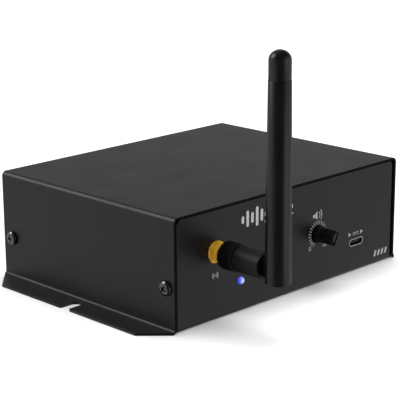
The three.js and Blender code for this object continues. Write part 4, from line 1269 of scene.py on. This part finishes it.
def smallMarks():
    forms = []
    forms += [bar(-16.2 + i * 2.4, -14.5 + i * 2.4, 35.0, 36.6) for i in range(7)]
    forms += [bar(-16.2 + i * 1.2, -15.5 + i * 1.2, 32.6, 33.2, 0, 0.08) for i in range(14)]
    # aerial: a mast's dot between two pairs of waves
    forms.append(inked(arc(-43.1, 17.65, 0.32, 0, 345, 15)))
    for start in (-50, 130):
        for radius in (0.75, 1.3):
            forms.append(sector(-43.1, 17.65, radius, radius + 0.28, start, start + 100))
    # pairing: two rings and a dash between them
    for x in (-10.6, -7.4):
        forms.append(sector(x, 23.3, 0.55, 0.85, 0, 179))
        forms.append(sector(x, 23.3, 0.55, 0.85, 181, 359))
    forms.append(bar(-9.55, -8.45, 23.1, 23.5, 0, 0.1))
    # loudspeaker with two waves
    speaker = [(12.1, 28.2), (13.3, 28.2), (14.8, 27.1), (14.8, 30.6), (13.3, 29.5), (12.1, 29.5)]
    forms.append(inked(eased(speaker, 0.1, 2, closed=True)))
    for radius in (1.7, 2.8):
        forms.append(sector(14.4, 28.85, radius, radius + 0.4, -42, 42))
    # direct current: a line over three dashes, between two arrows
    forms.append(bar(37.3, 41.1, 16.55, 16.85, 0, 0.08))
    forms += [bar(37.3 + i * 1.4, 38.3 + i * 1.4, 15.75, 16.05, 0, 0.08) for i in range(3)]
    forms.append(inked(eased([(34.6, 15.4), (36.2, 16.3), (34.6, 17.2)], 0.1, 2, closed=True)))
    forms.append(inked(eased([(42.2, 15.4), (43.8, 16.3), (42.2, 17.2)], 0.1, 2, closed=True)))
    # four leaning bars in the lower corner
    forms += [bar(51.4 + i * 2.35, 52.7 + i * 2.35, 3.3, 5.8, 0.7) for i in range(4)]
    return forms


def printedNumber(text, x, z, height):
    # numbers on the dial, from the built-in face
    curve = bpy.data.curves.new("dialNumber", "FONT")
    curve.body = text
    curve.size = height / 0.7
    curve.align_x = "CENTER"
    curve.align_y = "CENTER"
    holder = bpy.data.objects.new("dialNumber", curve)
    bpy.context.scene.collection.objects.link(holder)
    graph = bpy.context.evaluated_depsgraph_get()
    flat = bpy.data.meshes.new_from_object(holder.evaluated_get(graph))
    form = bmesh.new()
    form.from_mesh(flat)
    bmesh.ops.remove_doubles(form, verts=form.verts, dist=0.001)
    risen = bmesh.ops.extrude_face_region(form, geom=form.faces[:])["geom"]
    tops = [v for v in risen if isinstance(v, bmesh.types.BMVert)]
    bmesh.ops.translate(form, vec=(0, 0, ink["thickness"]), verts=tops)
    moved(form, Matrix.Translation((x, z, ink["lift"])))
    bpy.data.objects.remove(holder)
    bpy.data.curves.remove(curve)
    bpy.data.meshes.remove(flat)
    return form


def makePrint():
    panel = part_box("chassis_tray")[0].y / mm
    placing = facing((0, -1, 0), (0, panel, 0))
    fitForm("printedWave", joinedForms(*soundBars()), "screenInkBright", placing, "case", None)
    axis = boxOf("volume_shaft")[0]
    numbers = [printedNumber("0", axis.x - 4.6, axis.z - 5.3, 1.9),
               printedNumber("10", axis.x + 4.2, axis.z - 5.3, 1.9)]
    fitForm("printedMarks", joinedForms(*smallMarks(), *numbers), "screenInk", placing, "case", None)

    piece = makePiece("printedDial", bmesh.new(), "screenInkBright")
    growFrom(piece, dialTree, {
        "Ticks": dial["ticks"], "Radius": dial["radius"] * mm, "Tick Length": dial["tickLength"] * mm,
        "Tick Width": dial["tickWidth"] * mm, "Thickness": ink["thickness"] * mm,
        "First": math.radians(90 + dial["first"]), "Sweep": math.radians(dial["sweep"]),
        "Material": finishes["screenInkBright"]})
    middle = Vector((axis.x, panel - ink["lift"] - ink["thickness"] / 2, axis.z))
    placePiece(piece, facing((0, -1, 0), middle))
    fit(piece, "case", None)


makePrint()
print("panel is printed")


# Rear outputs

outlet = {"flangeThickness": 2.2, "corner": 2.5, "barrel": 9.6, "bore": 7.6, "screwX": 9.5, "screwZ": 12.0,
          "screwHole": 1.7, "pinRadius": 1.2, "keyWidth": 2.4, "keyHeight": 0.9, "wellRadius": 1.9,
          "pinHole": 1.26}


def makeOutlet(label):
    o = outlet
    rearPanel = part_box("chassis_tray")[1].y / mm
    middle, size = boxOf(f"xlr_shell_{label}")
    placing = facing((0, 1, 0), (middle.x, rearPanel, middle.z))
    rim, back = middle.y + size.y / 2 - rearPanel, middle.y - size.y / 2 - rearPanel
    face = o["flangeThickness"] + 0.02
    plate = extruded(roundedBox(size.x, size.z, o["corner"], 10), 0.02, face)
    piece = makePiece(f"outletShell_{label}", plate, "chromatedCasting")
    barrel = turned([(0, back), (o["barrel"], back), (o["barrel"], rim), (0, rim)], 72)
    combine(piece, [barrel], "UNION")
    bore = turned([(0, back - 1), (o["bore"], back - 1), (o["bore"], rim - 0.6), (o["bore"] + 0.6, rim),
                   (o["bore"] + 0.6, rim + 1), (0, rim + 1)], 72)
    screwHoles = []
    for sign in (-1, 1):
        # local x runs towards -X on the rear panel
        hole = turned([(0, -1), (o["screwHole"], -1), (o["screwHole"], face + 1), (0, face + 1)], 32)
        screwHoles.append(moved(hole, Matrix.Translation((sign * o["screwX"], sign * o["screwZ"], 0))))
    combine(piece, [bore, *screwHoles])
    half = o["keyWidth"] / 2
    key = block(-half, half, o["bore"] - o["keyHeight"], o["bore"] + 0.4, back + 8, rim - 1.2)
    combine(piece, [key], "UNION")
    easeEdges(piece, 0.22, 3, 40)
    placePiece(piece, placing)
    fit(piece, "case", "connector_shell", f"xlr_shell_{label}")

    insertMiddle, insertSize = boxOf(f"xlr_insert_{label}")
    low = insertMiddle.y - insertSize.y / 2 - rearPanel
    high = insertMiddle.y + insertSize.y / 2 - rearPanel
    disc = turned(eased([(0, low), (insertSize.x / 2, low), (insertSize.x / 2, high), (0, high)], 0.3), 72)
    piece = makePiece(f"outletInsert_{label}", disc, "filledNylon")
    wells = []
    for number in range(1, 4):
        pin = boxOf(f"xlr_pin_{label}_{number}")[0]
        across, up = -(pin.x - middle.x), pinHeight(label, number) - middle.z
        well = [(0, low - 1), (o["pinHole"], low - 1), (o["pinHole"], high - 0.7),
                (o["wellRadius"], high - 0.7), (o["wellRadius"], high + 1), (0, high + 1)]
        wells.append(moved(turned(well, 40), Matrix.Translation((across, up, 0))))
    combine(piece, wells)
    easeEdges(piece, 0.12)
    placePiece(piece, placing)
    fit(piece, "case", "black_plastic", f"xlr_insert_{label}")


def pinHeight(label, number):
    # a pin's box takes in its tail, so its axis is found from its top
    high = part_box(f"xlr_pin_{label}_{number}")[1]
    return high.z / mm - outlet["pinRadius"]


def makeOutletPins():
    places, nodes = [], []
    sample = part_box("xlr_pin_left_1")
    length = (sample[1].y - sample[0].y) / mm
    r = outlet["pinRadius"]
    turns = [math.pi / 2 * i / 8 for i in range(8)]
    tip = [(r * math.cos(t), length - 1.1 + 1.1 * math.sin(t)) for t in turns]
    shaft = turned([(0, 0), (r, 0), *tip, (0, length)], 40)
    board = boxOf("main_board")[0]
    for label in ("left", "right"):
        for number in range(1, 4):
            node = f"xlr_pin_{label}_{number}"
            middle, size = boxOf(node)
            nodes.append(node)
            root = Vector((middle.x, middle.y - size.y / 2, pinHeight(label, number)))
            places.append((root, Vector((0, 1, 0))))
    model = smoothBy(makePiece("pinModel", shaft), 40)
    pins = spreadOver("outletPins", model, places, "tinPlate")
    # each pin's square tail goes down through the board
    tails = []
    for point, _ in places:
        tails.append(block(point.x - 0.4, point.x + 0.4, point.y, point.y + 0.8, board.z - 1.8, point.z))
    tail = makePiece("tails", joinedForms(*tails), "tinPlate")
    whole = bmesh.new()
    whole.from_mesh(pins.data)
    whole.from_mesh(tail.data)
    whole.to_mesh(pins.data)
    whole.free()
    bpy.data.meshes.remove(tail.data)
    fit(smoothBy(pins, 40), "case", "tin_plate", *nodes)


def makeOutletScrews():
    model = makeScrewModel(screw["radius"], screw["length"], screw["headRadius"], screw["headHeight"])
    places, nodes = [], []
    for label in ("left", "right"):
        for number in (1, 2):
            node = f"xlr_screw_{label}_{number}"
            middle, size = boxOf(node)
            seat = middle.y + size.y / 2 - screw["headHeight"]
            places.append((Vector((middle.x, seat, middle.z)), Vector((0, 1, 0))))
            nodes.append(node)
    piece = spreadOver("outletScrews", model, places, "blackNickel", turn=math.pi / 2, seed=9)
    fit(piece, "case", "black_steel", *nodes)


makeOutlet("left")
makeOutlet("right")
makeOutletPins()
makeOutletScrews()
print("rear outputs are made")


# Inside the case

inside = {
    "solderMask": ["main_board", "radio_board"],
    "zincPlate": [f"{kind}_{n}" for kind in ("standoff", "board_screw") for n in range(1, 5)],
    "mouldedEpoxy": ["converter_chip", "driver_chip", "pairing_switch"],
    "ferriteCore": ["regulator_coil"],
    "petSleeve": [f"capacitor_{n}" for n in range(1, 4)],
    "tinPlate": ["radio_shield"],
    "fepJacket": ["aerial_lead"],
    "giltBrass": ["aerial_lead_plug", "antenna_plug_core", "antenna_radiator"],
    "whitePtfe": ["sma_insulator"],
    "filledNylon": ["led_holder"],
}


def finishInside():
    for material, nodes in inside.items():
        for node in nodes:
            holder = frame["nodes"][node]
            holder.data.materials.clear()
            holder.data.materials.append(finishes[material])


finishInside()
print("inside is finished")
